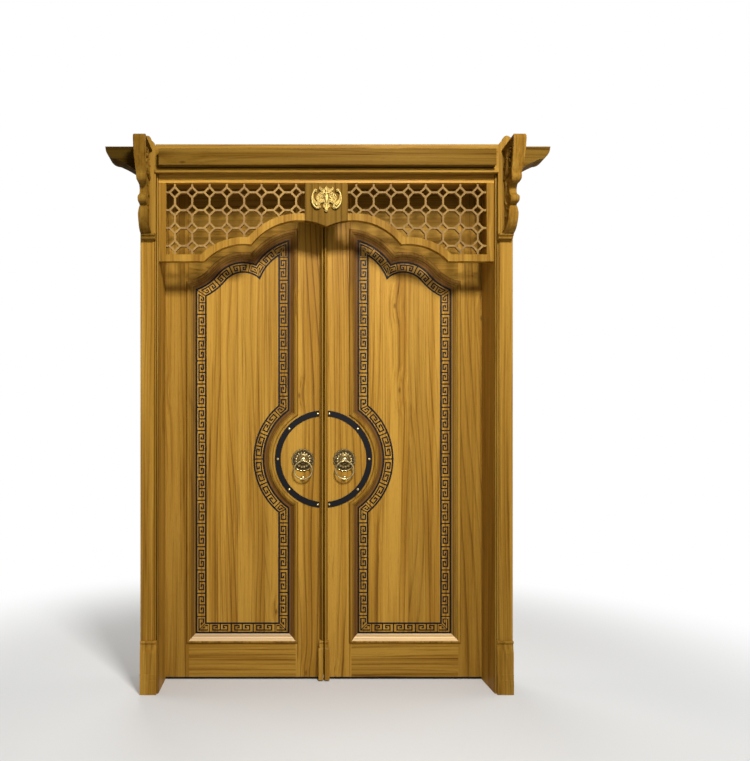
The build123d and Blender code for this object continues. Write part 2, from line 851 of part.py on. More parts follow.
def moulding_length(start, end, circle):
    """One length of moulding, longer than its side at both ends."""
    if circle is None:
        size = hypot(end[0] - start[0], end[1] - start[1])
        along = ((end[0] - start[0]) / size, (end[1] - start[1]) / size)
        origin = (start[0] - along[0] * MITRE_REACH, start[1] - along[1] * MITRE_REACH)
        return extrude(moulding_section(origin, along), size + 2 * MITRE_REACH)
    x, z, radius = circle
    first = atan2(start[1] - z, start[0] - x)
    last = atan2(end[1] - z, end[0] - x)
    sense = 1 if last > first else -1
    begin = first - sense * radians(MITRE_TURN)
    origin = (x + radius * cos(begin), z + radius * sin(begin))
    along = (-sense * sin(begin), sense * cos(begin))
    turn = degrees(abs(last - first)) + 2 * MITRE_TURN
    return revolve(moulding_section(origin, along), Axis((x, 0, z), (0, -sense, 0)), turn)


def panel_moulding():
    """Moulding round the panel in eight mitred lengths."""
    inner, outer = panel_sides(0), panel_sides(MOULDING_WIDTH)
    lengths = []
    for index, (start, end, circle) in enumerate(inner):
        keep = ((start[0] + end[0]) / 2, (start[1] + end[1]) / 2)
        piece = moulding_length(start, end, circle)
        piece -= mitre_waste((start, outer[index][0]), keep)
        piece -= mitre_waste((end, outer[index][1]), keep)
        lengths.append(piece)
    return lengths


def astragal():
    """Half of the astragal over the meeting of the leaves, its inner edge bevelled for the swing."""
    section = [
        (MEETING_GAP, LEAF_FACE),
        (ASTRAGAL_EDGE, LEAF_FACE),
        (ASTRAGAL_EDGE, LEAF_FACE - 6),
        (21, LEAF_FACE - 15, "arc"),
        (18, LEAF_FACE - 31),
        (15.5, LEAF_FACE - 37.5, "arc"),
        (9, LEAF_FACE - ASTRAGAL_PROUD),
        (7, LEAF_FACE - ASTRAGAL_PROUD),
        (ASTRAGAL_GAP, LEAF_FACE - ASTRAGAL_PROUD + 3),
    ]
    return post(section, (BLOCK_TOP, TOP - 4))


def astragal_block():
    """Half of the block at the foot of the astragal: body, shoulder, neck and bead."""
    profile = [
        (-LEAF_FACE, BLOCK_BOTTOM),
        (BLOCK_PROUD - LEAF_FACE, BLOCK_BOTTOM),
        (BLOCK_PROUD - LEAF_FACE, BLOCK_BODY_TOP),
        (BLOCK_PROUD - 7 - LEAF_FACE, BLOCK_BODY_TOP + 12),
        (BLOCK_PROUD - 7 - LEAF_FACE, BLOCK_TOP - 20),
        (BLOCK_PROUD - LEAF_FACE, BLOCK_TOP - 10, "arc"),
        (BLOCK_PROUD - 7 - LEAF_FACE, BLOCK_TOP),
        (-LEAF_FACE, BLOCK_TOP),
    ]
    piece = beam(profile, (MEETING_GAP, BLOCK_EDGE))
    front = LEAF_FACE - BLOCK_PROUD
    side = block((BLOCK_EDGE - 6, BLOCK_EDGE), (front, LEAF_FACE), (BLOCK_BODY_TOP + 6, BLOCK_TOP))
    bevel = [(MEETING_GAP, LEAF_FACE), (BLOCK_GAP, front), (MEETING_GAP, front)]
    return piece - side - post(bevel, (BLOCK_BOTTOM, BLOCK_TOP))


def iron_ring():
    """Flat iron half ring on the swollen stile, cut square beside the astragal."""
    y = LEAF_FACE - IRON_THICK / 2
    ring = Cylinder(IRON_OUTER, IRON_THICK) - Cylinder(IRON_INNER, IRON_THICK)
    ring = Pos(0, y, CIRCLE_HEIGHT) * Rot(90, 0, 0) * ring
    z = (CIRCLE_HEIGHT - IRON_OUTER, CIRCLE_HEIGHT + IRON_OUTER)
    return ring - block((-IRON_OUTER, ASTRAGAL_EDGE + 0.5), (LEAF_FACE - IRON_THICK, LEAF_FACE), z)


def studs():
    """Dome nails on the iron ring and the stud that the knocker strikes."""
    middle = (IRON_INNER + IRON_OUTER) / 2
    last = acos((ASTRAGAL_EDGE + NAIL_RADIUS + NAIL_MARGIN) / middle)
    pieces = []
    for index in range(NAIL_COUNT):
        angle = last * (2 * index / (NAIL_COUNT - 1) - 1)
        x, z = middle * cos(angle), CIRCLE_HEIGHT + middle * sin(angle)
        pieces.append(turned(dome(NAIL_RADIUS, NAIL_HEIGHT), x, LEAF_FACE - IRON_THICK, z))
    height = RING_STAND - RING_TUBE - STUD_CLEARANCE
    pieces.append(turned(dome(STUD_RADIUS, 8, height - 8), KNOCKER_X, LEAF_FACE, STUD_Z))
    return pieces


def knocker_plate():
    """Scalloped plate with tiers, a dome and the eye that holds the ring."""
    corners = []
    for index in range(SCALLOPS):
        root, tip = 2 * pi * index / SCALLOPS, 2 * pi * (index + 0.5) / SCALLOPS
        corners.append((KNOCKER_X + SCALLOP_ROOT * cos(root), KNOCKER_Z + SCALLOP_ROOT * sin(root)))
        corners.append((KNOCKER_X + SCALLOP_TIP * cos(tip), KNOCKER_Z + SCALLOP_TIP * sin(tip), "arc"))
    plate = board(corners, (LEAF_FACE - KNOCKER_PLATE, LEAF_FACE))
    tiers = [
        (0, 0),
        (68, 0),
        (68, 6),
        (66, 8),
        (58, 8),
        (55, 12),
        (45, 12),
        (42, 14),
        (26, 25, "arc"),
        (0, 28),
    ]
    piece = plate + turned(tiers, KNOCKER_X, LEAF_FACE, KNOCKER_Z)
    y = LEAF_FACE - RING_STAND
    eye = Pos(KNOCKER_X, y, RING_TOP) * Rot(0, 90, 0)
    half = EYE_WIDTH / 2
    piece += eye * Cylinder(EYE_RADIUS, EYE_WIDTH)
    piece += block((KNOCKER_X - half, KNOCKER_X + half), (y, y + 16), (RING_TOP - 9, RING_TOP + 9))
    return piece - eye * Cylinder(RING_TUBE + EYE_CLEARANCE, EYE_WIDTH)


def knocker_ring():
    """Round ring that hangs in the eye."""
    place = Pos(KNOCKER_X, LEAF_FACE - RING_STAND, RING_TOP - RING_RADIUS)
    return place * Rot(90, 0, 0) * Torus(RING_RADIUS, RING_TUBE)


# Hinges and lock


def knuckle_limits(z, index):
    """Lower and upper height of one knuckle of the hinge centred at z."""
    length = HINGE_LENGTH / KNUCKLES
    low = z - HINGE_LENGTH / 2 + index * length
    return low + KNUCKLE_GAP / 2, low + length - KNUCKLE_GAP / 2


def hinge_half(inner, outer, z, indices):
    """Hinge plate with the knuckles of the given indices."""
    piece = hinge_plate(inner, outer, z)
    for index in indices:
        limits = knuckle_limits(z, index)
        piece += block((inner, outer), (JAMB_BACK, HINGE_Y), limits)
        piece += rod(KNUCKLE_RADIUS, HINGE_X, HINGE_Y, limits)
    return piece


def frame_hinges():
    """Frame halves of the hinges, with the pins fixed in them."""
    face = SIDE + STOP_WIDTH
    pieces = []
    for z in hinge_heights():
        piece = hinge_half(face, face + HINGE_PLATE, z, range(0, KNUCKLES, 2))
        ends = (z - HINGE_LENGTH / 2, z + HINGE_LENGTH / 2)
        pieces.append(piece + rod(PIN_RADIUS, HINGE_X, HINGE_Y, ends))
    return pieces


def door_hinges():
    """Leaf halves of the hinges, bored for the pins."""
    pieces = []
    for z in hinge_heights():
        piece = hinge_half(LEAF_EDGE - HINGE_PLATE, LEAF_EDGE, z, range(1, KNUCKLES, 2))
        ends = (z - HINGE_LENGTH / 2, z + HINGE_LENGTH / 2)
        pieces.append(piece - rod(PIN_RADIUS + PIN_CLEARANCE, HINGE_X, HINGE_Y, ends))
    return pieces


def locking_bar():
    """Sliding bar on the back of the right leaf, drawn back, with its peg."""
    z = (CIRCLE_HEIGHT - BAR_HEIGHT / 2, CIRCLE_HEIGHT + BAR_HEIGHT / 2)
    piece = block((BAR_START, BAR_START + BAR_LENGTH), (BAR_BACK - BAR_THICK, BAR_BACK), z)
    peg = Rot(90, 0, 0) * Cylinder(PEG_RADIUS, PEG_LENGTH)
    return piece + Pos(PEG_X, BAR_BACK + PEG_LENGTH / 2, CIRCLE_HEIGHT) * peg


def keeper(x):
    """Wooden keeper round the bar, with feet on the back of the leaf."""
    slot = BAR_HEIGHT / 2 + BAR_CLEARANCE
    wall = slot + KEEPER_WALL
    across = (x, x + KEEPER_WIDTH)
    back = BAR_BACK + BAR_CLEARANCE
    piece = block(across, (JAMB_BACK, back + KEEPER_WALL), (CIRCLE_HEIGHT - wall, CIRCLE_HEIGHT + wall))
    foot = wall + KEEPER_FOOT
    piece += block(across, (JAMB_BACK, JAMB_BACK + 10), (CIRCLE_HEIGHT - foot, CIRCLE_HEIGHT + foot))
    return piece - block(across, (JAMB_BACK, back), (CIRCLE_HEIGHT - slot, CIRCLE_HEIGHT + slot))


def write_frame():
    """Write the fixed pieces."""
    save_pair("left_jamb", "right_jamb", jamb())
    save("head_jamb", head())
    save_pair("left_casing", "right_casing", casing())
    save_pair("left_plinth", "right_plinth", plinth())
    save_pair("rear_casing_left", "rear_casing_right", rear_casing())
    save("rear_casing_head", rear_head_casing())
    save("crown_backing", crown_backing())
    save("crown_board", crown_board())
    save_pair("left_wing", "right_wing", wing())
    save_pair("left_bracket_board", "right_bracket_board", bracket_board())
    save_pair("left_bracket", "right_bracket", bracket())
    save("valance_top_rail", valance_top_rail())
    save_pair("valance_left_stile", "valance_right_stile", valance_stile())
    save_pair("valance_left_rail", "valance_right_rail", valance_rail())
    save("valance_centre_block", centre_block())
    save_pair("left_lattice", "right_lattice", lattice())
    save("bat_ornament", bat())
    save_pair("left_frame_hinges", "right_frame_hinges", *frame_hinges())


def write_leaves():
    """Write both leaves, the knocker rings and the inside lock."""
    save_pair("left_hinge_stile", "right_hinge_stile", hinge_stile())
    save_pair("left_meeting_stile", "right_meeting_stile", meeting_stile())
    save_pair("left_bottom_rail", "right_bottom_rail", bottom_rail())
    save_pair("left_top_rail", "right_top_rail", top_rail())
    save_pair("left_panel", "right_panel", panel())
    save_pair("left_fret_band", "right_fret_band", fret_band())
    save_pair("left_panel_moulding", "right_panel_moulding", *panel_moulding())
    save_pair("left_astragal", "right_astragal", astragal())
    save_pair("left_astragal_block", "right_astragal_block", astragal_block())
    save_pair("left_iron_ring", "right_iron_ring", iron_ring())
    save_pair("left_door_studs", "right_door_studs", *studs())
    save_pair("left_knocker_plate", "right_knocker_plate", knocker_plate())
    save_pair("left_knocker_ring", "right_knocker_ring", knocker_ring())
    save_pair("left_door_hinges", "right_door_hinges", *door_hinges())
    save("locking_bar", locking_bar())
    save("right_bar_keepers", *[keeper(x) for x in KEEPER_X])
    save("left_bar_keeper", mirror(keeper(KEEPER_X[0]), about=Plane.YZ))


os.makedirs("parts", exist_ok=True)
write_frame()
write_leaves()
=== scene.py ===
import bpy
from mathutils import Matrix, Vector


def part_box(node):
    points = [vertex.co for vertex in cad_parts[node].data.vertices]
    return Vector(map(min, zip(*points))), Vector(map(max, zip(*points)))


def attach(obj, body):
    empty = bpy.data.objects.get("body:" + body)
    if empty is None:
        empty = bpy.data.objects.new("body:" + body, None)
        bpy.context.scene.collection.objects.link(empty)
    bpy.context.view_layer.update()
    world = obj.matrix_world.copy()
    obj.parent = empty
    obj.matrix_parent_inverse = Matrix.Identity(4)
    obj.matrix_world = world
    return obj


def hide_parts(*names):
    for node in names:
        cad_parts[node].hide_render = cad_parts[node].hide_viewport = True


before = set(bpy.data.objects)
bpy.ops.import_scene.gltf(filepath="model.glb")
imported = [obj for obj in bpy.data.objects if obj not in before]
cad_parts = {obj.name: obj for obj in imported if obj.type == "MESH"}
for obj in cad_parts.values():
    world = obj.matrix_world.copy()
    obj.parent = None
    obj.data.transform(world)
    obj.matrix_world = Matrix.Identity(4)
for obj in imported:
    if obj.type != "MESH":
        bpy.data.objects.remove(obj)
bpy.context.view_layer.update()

import functools
import math

import bpy
import numpy as np
from mathutils import Vector

bl_info = {
    "name": "Carved double entry doors",
    "version": (1, 0, 0),
    "blender": (4, 5, 0),
    "location": "3D View > Sidebar > Doors",
    "description": "Finishes, key bands, carving and metalwork of a pair of carved entry doors",
    "category": "Object",
}

MM = 0.001

# Depths of the CAD faces that new pieces lie on, in metres
LEAF_FACE, LEAF_BACK = (corner.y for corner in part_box("left_hinge_stile"))
PANEL_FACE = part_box("left_panel")[0].y
BAND_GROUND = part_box("left_fret_band")[0].y
VALANCE_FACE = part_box("valance_centre_block")[0].y
CASING_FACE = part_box("right_casing")[0].y
BEAD_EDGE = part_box("right_casing")[0].x + 40 * MM

# The panel line of the right leaf, which the key band follows on its inner side
LINE_MEETING, LINE_HINGE = (corner.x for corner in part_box("right_fret_band"))
LINE_BOTTOM, LINE_TOP = (corner.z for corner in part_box("right_fret_band"))
HEAD_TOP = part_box("right_jamb")[1].z - 0.360
CIRCLE_HEIGHT = sum(corner.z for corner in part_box("right_iron_ring")) / 2
CIRCLE_RADIUS = 0.430
PLATE_MIDDLE = sum(corner.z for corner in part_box("right_knocker_plate")) / 2

# Points of the panel head: reach from the meeting side and drop from its top, as shares of the bay's width
HEAD_POINTS = [(0, 0), (0.205, 0.094), (0.360, 0.256), (0.586, 0.245), (0.772, 0.366), (1, 0.523)]

# Lanes of the key band, from the panel line inwards, and where the wood stands proud in one half of a key
KEY_LANES = np.array([13.8, 20.2, 30.1, 36.8, 46.6, 53.2, 63.1, 68.0]) * MM
KEY_MIDDLE = 40.5 * MM
KEY_WOOD = np.array([
    [0, 1, 1, 1, 1, 1, 1, 1],
    [0, 1, 0, 0, 0, 0, 0, 0],
    [0, 1, 0, 1, 1, 1, 1, 0],
    [0, 1, 0, 1, 0, 0, 1, 0],
    [0, 1, 0, 1, 1, 0, 1, 0],
    [0, 1, 0, 0, 0, 0, 1, 0],
    [0, 1, 1, 1, 1, 1, 1, 0],
], bool)
KEY_CROSS = np.array([0.0, 4.8, 20.9, 30.6]) * MM
KEY_STEM = np.array([0.0, 4.8, 18.2, 27.9]) * MM
KEY_TICK, KEY_TICK_SHARE, KEY_REST = 11.8 * MM, 0.42, 8.0 * MM
KEY_STEP, KEY_SUNK = 6.0 * MM, 0.2 * MM

# Where the even keys of each run begin and end: from the corners of the band at its foot, down from the top
# of the hinge side, over the floor under and above the half circle, and the angle on the half circle
FOOT_KEYS, HINGE_KEYS, HINGE_FIRST = (0.100, 0.103), (2.651, 0.450), 2.736
UNDER_KEYS, ABOVE_KEYS, CIRCLE_KEYS = (0.456, 1.132), (2.055, 3.068), math.radians(45.0)


# Meshes worked out as whole arrays


def grid_quads(rows, columns, wrap=False):
    """Quads between neighbouring rows of a grid of points; wrap joins the last column to the first."""
    row = np.arange(rows - 1)[:, None]
    column = np.arange(columns if wrap else columns - 1)[None, :]
    a = row * columns + column
    b = row * columns + (column + 1) % columns
    return np.stack((a, b, b + columns, a + columns), -1).reshape(-1, 4)


def facing_out(points, faces):
    """The faces, turned over if the closed shape they bound would have a volume below zero.

    The volume is a sixth of the sum, over a fan of triangles in each face, of first . (second x third).
    """
    volume = 0.0
    for group in faces:
        corner = points[group]
        for k in range(1, group.shape[1] - 1):
            turned = np.cross(corner[:, k], corner[:, k + 1])
            volume += float((corner[:, 0] * turned).sum())
    return faces if volume > 0 else [group[:, ::-1] for group in faces]


def closed_rings(rings, first, last):
    """Closed surface over rows of points (row, column, 3) with a pole beyond the first and the last row."""
    rows, columns = rings.shape[:2]
    ring = np.arange(columns)
    after = np.roll(ring, -1)
    poles = np.full(columns, rows * columns)
    far = (rows - 1) * columns
    fans = [np.column_stack((poles, after, ring)), np.column_stack((poles + 1, far + ring, far + after))]
    return np.vstack((rings.reshape(-1, 3), first, last)), [grid_quads(rows, columns, wrap=True), *fans]


def full_turn(count):
    """Angles round a full turn in equal steps."""
    return np.linspace(0, 2 * np.pi, count, endpoint=False)


def unit(rows):
    """Each row made one long."""
    return rows / np.linalg.norm(rows, axis=-1, keepdims=True)


def curve(rows, steps=5):
    """Rows of numbers along a smooth line through the given rows.

    Each stretch from b to c is the cubic that leaves b along (c - a) / 2 and reaches c along (d - b) / 2.
    """
    rows = np.asarray(rows, float)
    rows = np.vstack((2 * rows[0] - rows[1], rows, 2 * rows[-1] - rows[-2]))
    a, b, c, d = (rows[k:len(rows) - 3 + k, None] for k in range(4))
    t = (np.arange(steps) / steps)[:, None]
    made = b + (c - a) * t / 2 + (2 * a - 5 * b + 4 * c - d) * t**2 / 2 + (3 * b - a - 3 * c + d) * t**3 / 2
    return np.vstack((made.reshape(-1, rows.shape[1]), rows[-2]))


def vine(path, radius, flat=1.0, normal=(0.0, -1.0, 0.0), sides=12):
    """Closed tube along a path with a radius at each point, rounded at its ends.

    A ring is radius . (cos turn . side + flat . sin turn . normal), where side is square to the path and the
    normal. The ends close over a quarter turn: the radius goes with its cosine and the way on with its sine.
    """
    path, radius = np.asarray(path, float), np.asarray(radius, float)
    way = unit(np.gradient(path, axis=0))
    cap = np.radians([75.0, 50.0, 25.0])[:, None]
    before = path[0] - way[0] * radius[0] * np.sin(cap)
    beyond = path[-1] + way[-1] * radius[-1] * np.sin(cap[::-1])
    spots = np.vstack((before, path, beyond))
    size = np.concatenate((radius[0] * np.cos(cap[:, 0]), radius, radius[-1] * np.cos(cap[::-1, 0])))
    side = unit(np.cross(np.vstack((way[[0] * 3], way, way[[-1] * 3])), normal))
    turn = full_turn(sides)[None, :, None]
    spoke = np.cos(turn) * side[:, None] + flat * np.sin(turn) * np.array(normal)
    rings = spots[:, None] + size[:, None, None] * spoke
    return closed_rings(rings, path[0] - way[0] * radius[0], path[-1] + way[-1] * radius[-1])


def lathed(profile, middle, axis, around, columns=32):
    """Closed surface turned about an axis from rows of radius and distance along it; both ends are poles."""
    profile, axis, around = np.asarray(profile, float), np.array(axis, float), np.array(around, float)
    turn = full_turn(columns)[None, :, None]
    spoke = np.cos(turn) * around + np.sin(turn) * np.cross(axis, around)
    rings = middle + profile[:, None, None, 0] * spoke + profile[:, None, None, 1] * axis
    return closed_rings(rings, middle + profile[0, 1] * axis, middle + profile[-1, 1] * axis)


def slab(low, high):
    """Closed box between two corners."""
    corners = np.stack(np.meshgrid(*zip(low, high), indexing="ij"), -1).reshape(-1, 3)
    sides = [(0, 1, 3, 2), (4, 6, 7, 5), (0, 4, 5, 1), (2, 3, 7, 6), (0, 2, 6, 4), (1, 5, 7, 3)]
    return corners, [np.array(sides)]


def new_object(name, data):
    """A new object at the origin, linked into the scene."""
    made = bpy.data.objects.new(name, data)
    bpy.context.scene.collection.objects.link(made)
    return made


def make_piece(name, parts, material, body, replaces=(), crease=30.0):
    """One mesh object from parts of (points, faces), with its finish, tied to its CAD body."""
    points, starts, corners, start = [], [], [], 0
    for part_points, faces in parts:
        for group in facing_out(part_points, faces):
            starts.append(np.full(len(group), group.shape[1]))
            corners.append(group.ravel() + start)
        points.append(part_points)
        start += len(part_points)
    points = np.concatenate(points).astype(np.float32)
    sizes = np.concatenate(starts)
    corners = np.concatenate(corners).astype(np.int32)
    mesh = bpy.data.meshes.new(name)
    mesh.vertices.add(len(points))
    mesh.vertices.foreach_set("co", points.ravel())
    mesh.loops.add(len(corners))
    mesh.loops.foreach_set("vertex_index", corners)
    mesh.polygons.add(len(sizes))
    mesh.polygons.foreach_set("loop_start", np.concatenate(([0], np.cumsum(sizes)[:-1])).astype(np.int32))
    mesh.polygons.foreach_set("use_smooth", np.ones(len(sizes), bool))
    mesh.update(calc_edges=True)
    if mesh.validate():
        raise RuntimeError(f"{name} has faces that Blender had to repair")
    mesh.set_sharp_from_angle(angle=math.radians(crease))
    mesh.materials.append(material)
    piece = new_object(name, mesh)
    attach(piece, body)
    if replaces:
        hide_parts(*replaces)


def mirrored(parts):
    """The same parts on the other side of the meeting line."""
    return [(points * np.array([-1.0, 1.0, 1.0]), faces) for points, faces in parts]


def make_pair(name, parts, host, body, crease=30.0, replace=False):
    """The piece of each side, in the material of its host, a CAD node of that side, which it may replace."""
    for side, made in (("left", mirrored(parts)), ("right", parts)):
        node = f"{side}_{host}"
        replaces = [node] if replace else ()
        make_piece(f"{side}_{name}", made, finish_of(node), body.format(side), replaces, crease)


# Strokes of the gilded bat: rows of across, up and radius in millimetres, the squeeze, and the lift. Up is
# measured from a height that lies BAT_RISE under the bat's top.
BAT_RISE = 80 * MM
BAT_PAIRED = [
    ([(68, 56, 4), (88, 40, 6), (99, 5, 6.5), (97, -30, 7), (84, -56, 8), (66, -70, 7), (54, -68, 5)],
     0.8, 0),
    ([(68, 56, 3.5), (68, 50, 3)], 0.8, 1),
    ([(26, 38, 4), (42, 34, 4), (56, 22, 3.6), (66, 0, 2.6)], 0.9, 1),
    ([(20, 20, 4), (36, 26, 4), (48, 16, 4), (43, 6, 3.4), (34, 11, 2.4)], 0.9, 1),
    ([(22, -4, 4), (40, 0, 4), (54, -10, 3.8), (63, -28, 3)], 0.9, 1),
    ([(22, -20, 4), (36, -20, 4), (50, -34, 4), (60, -50, 4)], 0.9, 1),
    ([(48, -54, 4), (44, -60, 4), (52, -66, 4)], 0.9, 2),
    ([(76, -34, 4), (72, -44, 6), (66, -52, 6)], 0.8, 3),
    ([(4, 58, 5), (22, 57, 4), (36, 63, 3.6), (41, 72, 2.4)], 0.9, 0),
    ([(0, 24, 3.4), (12, 31, 3.4), (22, 26, 3)], 0.9, 5),
    ([(0, 0, 3.4), (13, 9, 3.4), (22, 4, 3)], 0.9, 5),
    ([(0, -46, 4), (10, -42, 4), (20, -36, 3)], 0.9, 0),
    ([(0, -64, 4), (8, -72, 5), (8, -82, 5)], 0.8, 1),
    ([(7, 51, 3.6), (7, 52, 3.6)], 0.9, 5),
]
BAT_MIDDLE = [
    ([(0, 58, 8), (0, 44, 12), (0, 28, 10), (0, 8, 16), (0, -14, 14), (0, -32, 8)], 0.5, 0),
    ([(0, 60, 5), (0, 68, 4), (0, 76, 2)], 0.9, 0),
    ([(0, -36, 5), (0, -54, 5), (0, -72, 6), (0, -88, 5)], 0.7, 1),
    ([(0, 41, 4), (0, 43, 4)], 0.9, 6),
    ([(0, -33, 5), (0, -31, 5)], 0.8, 4),
]

# Height of a knocker plate over the leaf, for radii in millimetres: dome, steps, petals, ground and rim
PLATE_HEIGHTS = [
    (0, 29), (10, 28.5), (17, 26), (21, 22.5), (23, 18), (24, 9), (26, 8), (27.5, 15), (31, 17), (34, 14.5),
    (36, 7), (39, 6), (41, 9.5), (44, 8), (46, 13), (52, 13), (58, 9), (60, 3), (69, 2), (71, 7.5),
    (75, 10.5), (78, 8), (80, 0),
]
PETALS, PETAL_DEPTH, BEAD_HEIGHT = 16, 6 * MM, 1.5 * MM
PETAL_REACH, BEAD_REACH = (46, 61), (60, 71)
SCALLOP, SCALLOP_MIDDLE = 0.08, 0.4
PLATE_START, PLATE_ROWS, PLATE_COLUMNS = 4 * MM, 80, 256

# The eye of a knocker ring: its section, as reach from the middle and place across, the radius of the
# ring's wire, and the columns of the eye
EYE_SECTION = [
    (6.1, -5.4), (6.7, -6.0), (11.9, -6.0), (12.5, -5.4), (12.5, 5.4), (11.9, 6.0), (6.7, 6.0), (6.1, 5.4),
]
RING_WIRE, EYE_COLUMNS = 5.5 * MM, 32

# Carved vines in the holes of a bracket: rows of reach from its board, height over the door head and radius
BRACKET_VINES = [
    [(38, -66, 7), (66, -46, 9), (92, -14, 10), (104, 26, 10), (98, 58, 9), (112, 86, 8), (136, 94, 7),
     (162, 84, 6)],
    [(66, -46, 7), (92, -52, 7), (112, -38, 7), (134, -30, 6)],
    [(98, 6, 8), (76, 2, 7), (62, 16, 7), (40, 22, 7)],
    [(104, 34, 8), (126, 26, 7), (138, 10, 6)],
    [(98, 58, 8), (82, 52, 7), (70, 64, 6), (58, 60, 7)],
    [(112, 86, 7), (100, 104, 7), (88, 100, 6), (76, 104, 6)],
    [(104, 50, 7), (124, 56, 7), (134, 70, 6), (160, 66, 6)],
    [(36, -362, 6), (58, -336, 8), (76, -308, 8), (68, -280, 7), (44, -250, 7)],
    [(60, -334, 6), (76, -340, 6), (90, -348, 6)],
    [(76, -306, 7), (58, -300, 6), (48, -312, 6), (34, -306, 6)],
    [(70, -286, 6), (56, -280, 6), (40, -284, 6)],
]

# Vines that start over UPPER_HOLES fill the upper holes. The three vines of a hole lie VINE_SPREAD apart,
# about the middle of the web, which lies WEB_MIDDLE in from the bracket's outer side and is twice
# WEB_HALF thick. The bracket's top is BRACKET_RISE over the door head.
UPPER_HOLES = -100
VINE_SPREAD = {"upper": 22 * MM, "lower": 12 * MM}
BRACKET_RISE, WEB_MIDDLE, WEB_HALF = 150 * MM, 40 * MM, 20 * MM

# Carved vines on both sides of the web between its holes
WEB_VINES = [
    [(26, -66, 6), (44, -96, 8), (60, -128, 8), (52, -160, 8), (34, -188, 8), (40, -222, 8), (60, -244, 7)],
    [(60, -128, 7), (84, -120, 7), (104, -132, 6), (112, -150, 5)],
    [(36, -186, 7), (62, -180, 7), (84, -190, 6), (92, -206, 5)],
]

# Volutes on both sides of the web: middle and reach in millimetres, how many times smaller the reach
# becomes, and the radius of the cord as a share of the reach and at its end
VOLUTES = [((152, -104), 24), ((134, -240), 18), ((70, -312), 40)]
VOLUTE_SHRINK, VOLUTE_TAPER, VOLUTE_END = 5.0, 0.14, 1.5

# The seals of a leaf: how far the meeting seal reaches past its edge and into it, and the bottom seal into
# it, and how far they stay from its ends, its hinge side, the floor, its face and its back
# The bottom seal sits just behind the face, so that its black also stands as a painted shadow in the gap
# under the leaf
LIP_REACH = {"left": 2.7 * MM, "right": 2.0 * MM}
LIP_IN, FOOT_IN = 0.5 * MM, 1 * MM
FROM_END, FROM_HINGE, FROM_FLOOR, FROM_FACE, FROM_BACK = 2 * MM, 4 * MM, 3 * MM, 3 * MM, 1 * MM

# The screws of the bar keepers: reach and rise of a head as shares of its radius, and where they sit in a
# keeper: in from its sides to the middle of its foot, and in from its ends
SCREW_PROFILE = [(0.2, 0.5), (0.58, 0.42), (0.88, 0.23), (1.0, 0.0), (1.0, -0.19), (0.2, -0.19)]
KEEPER_MIDDLE, KEEPER_FOOT = 20 * MM, 10 * MM


# Geometry of the panel line


def circle_through(a, b, c):
    """Centre and radius of the circle through three points, from the crossing of two bisectors."""
    rows = np.array([np.subtract(b, a), np.subtract(c, a)]) * 2
    squares = [np.dot(point, point) for point in map(np.asarray, (a, b, c))]
    centre = np.linalg.solve(rows, [squares[1] - squares[0], squares[2] - squares[0]])
    return (*centre, math.dist(a, centre))


def crossing(first, second, near):
    """Crossing of two circles that lies nearer to a point."""
    x, z, radius = first
    gap = math.hypot(second[0] - x, second[1] - z)
    along = (gap**2 + radius**2 - second[2] ** 2) / (2 * gap)
    side = math.sqrt(radius**2 - along**2)
    ux, uz = (second[0] - x) / gap, (second[1] - z) / gap
    found = [(x + along * ux - s * uz, z + along * uz + s * ux) for s in (side, -side)]
    return min(found, key=lambda point: math.dist(point, near))


def head_circles():
    """Cusp of the panel head and its three circles: two that bulge up and one that sags to the hinge side."""
    bay = LINE_HINGE - LINE_MEETING
    points = [(LINE_MEETING + across * bay, HEAD_TOP - drop * bay) for across, drop in HEAD_POINTS]
    first, second = circle_through(*points[:3]), circle_through(*points[2:5])
    turn, end = points[4:]
    ux, uz = (turn[0] - second[0]) / second[2], (turn[1] - second[1]) / second[2]
    dx, dz = end[0] - turn[0], end[1] - turn[1]
    sag = (dx**2 + dz**2) / (2 * (dx * ux + dz * uz))
    return points[2], first, second, (turn[0] + ux * sag, turn[1] + uz * sag, sag)


def panel_sides(inset):
    """Sides of the panel line moved in by a distance, clockwise from the top of the meeting side.

    Each side is its start, its end and its circle, which is None for a straight side.
    """
    cusp, first, second, third = head_circles()
    first, second = (*first[:2], first[2] - inset), (*second[:2], second[2] - inset)
    third = (*third[:2], third[2] + inset)
    cut = (0.0, CIRCLE_HEIGHT, CIRCLE_RADIUS + inset)
    meeting, hinge, low = LINE_MEETING + inset, LINE_HINGE - inset, LINE_BOTTOM + inset
    start = (meeting, first[1] + math.sqrt(first[2] ** 2 - (meeting - first[0]) ** 2))
    cusp = crossing(first, second, cusp)
    gap = math.dist(third[:2], second[:2])
    turn = tuple(second[k] + (third[k] - second[k]) * second[2] / gap for k in (0, 1))
    end = (hinge, third[1] - math.sqrt(third[2] ** 2 - (hinge - third[0]) ** 2))
    rise = math.sqrt(cut[2] ** 2 - meeting**2)
    under, above = (meeting, CIRCLE_HEIGHT - rise), (meeting, CIRCLE_HEIGHT + rise)
    corners = [start, cusp, turn, end, (hinge, low), (meeting, low), under, above]
    circles = [first, second, third, None, None, None, cut, None]
    return [(corners[k], corners[(k + 1) % 8], circles[k]) for k in range(8)]


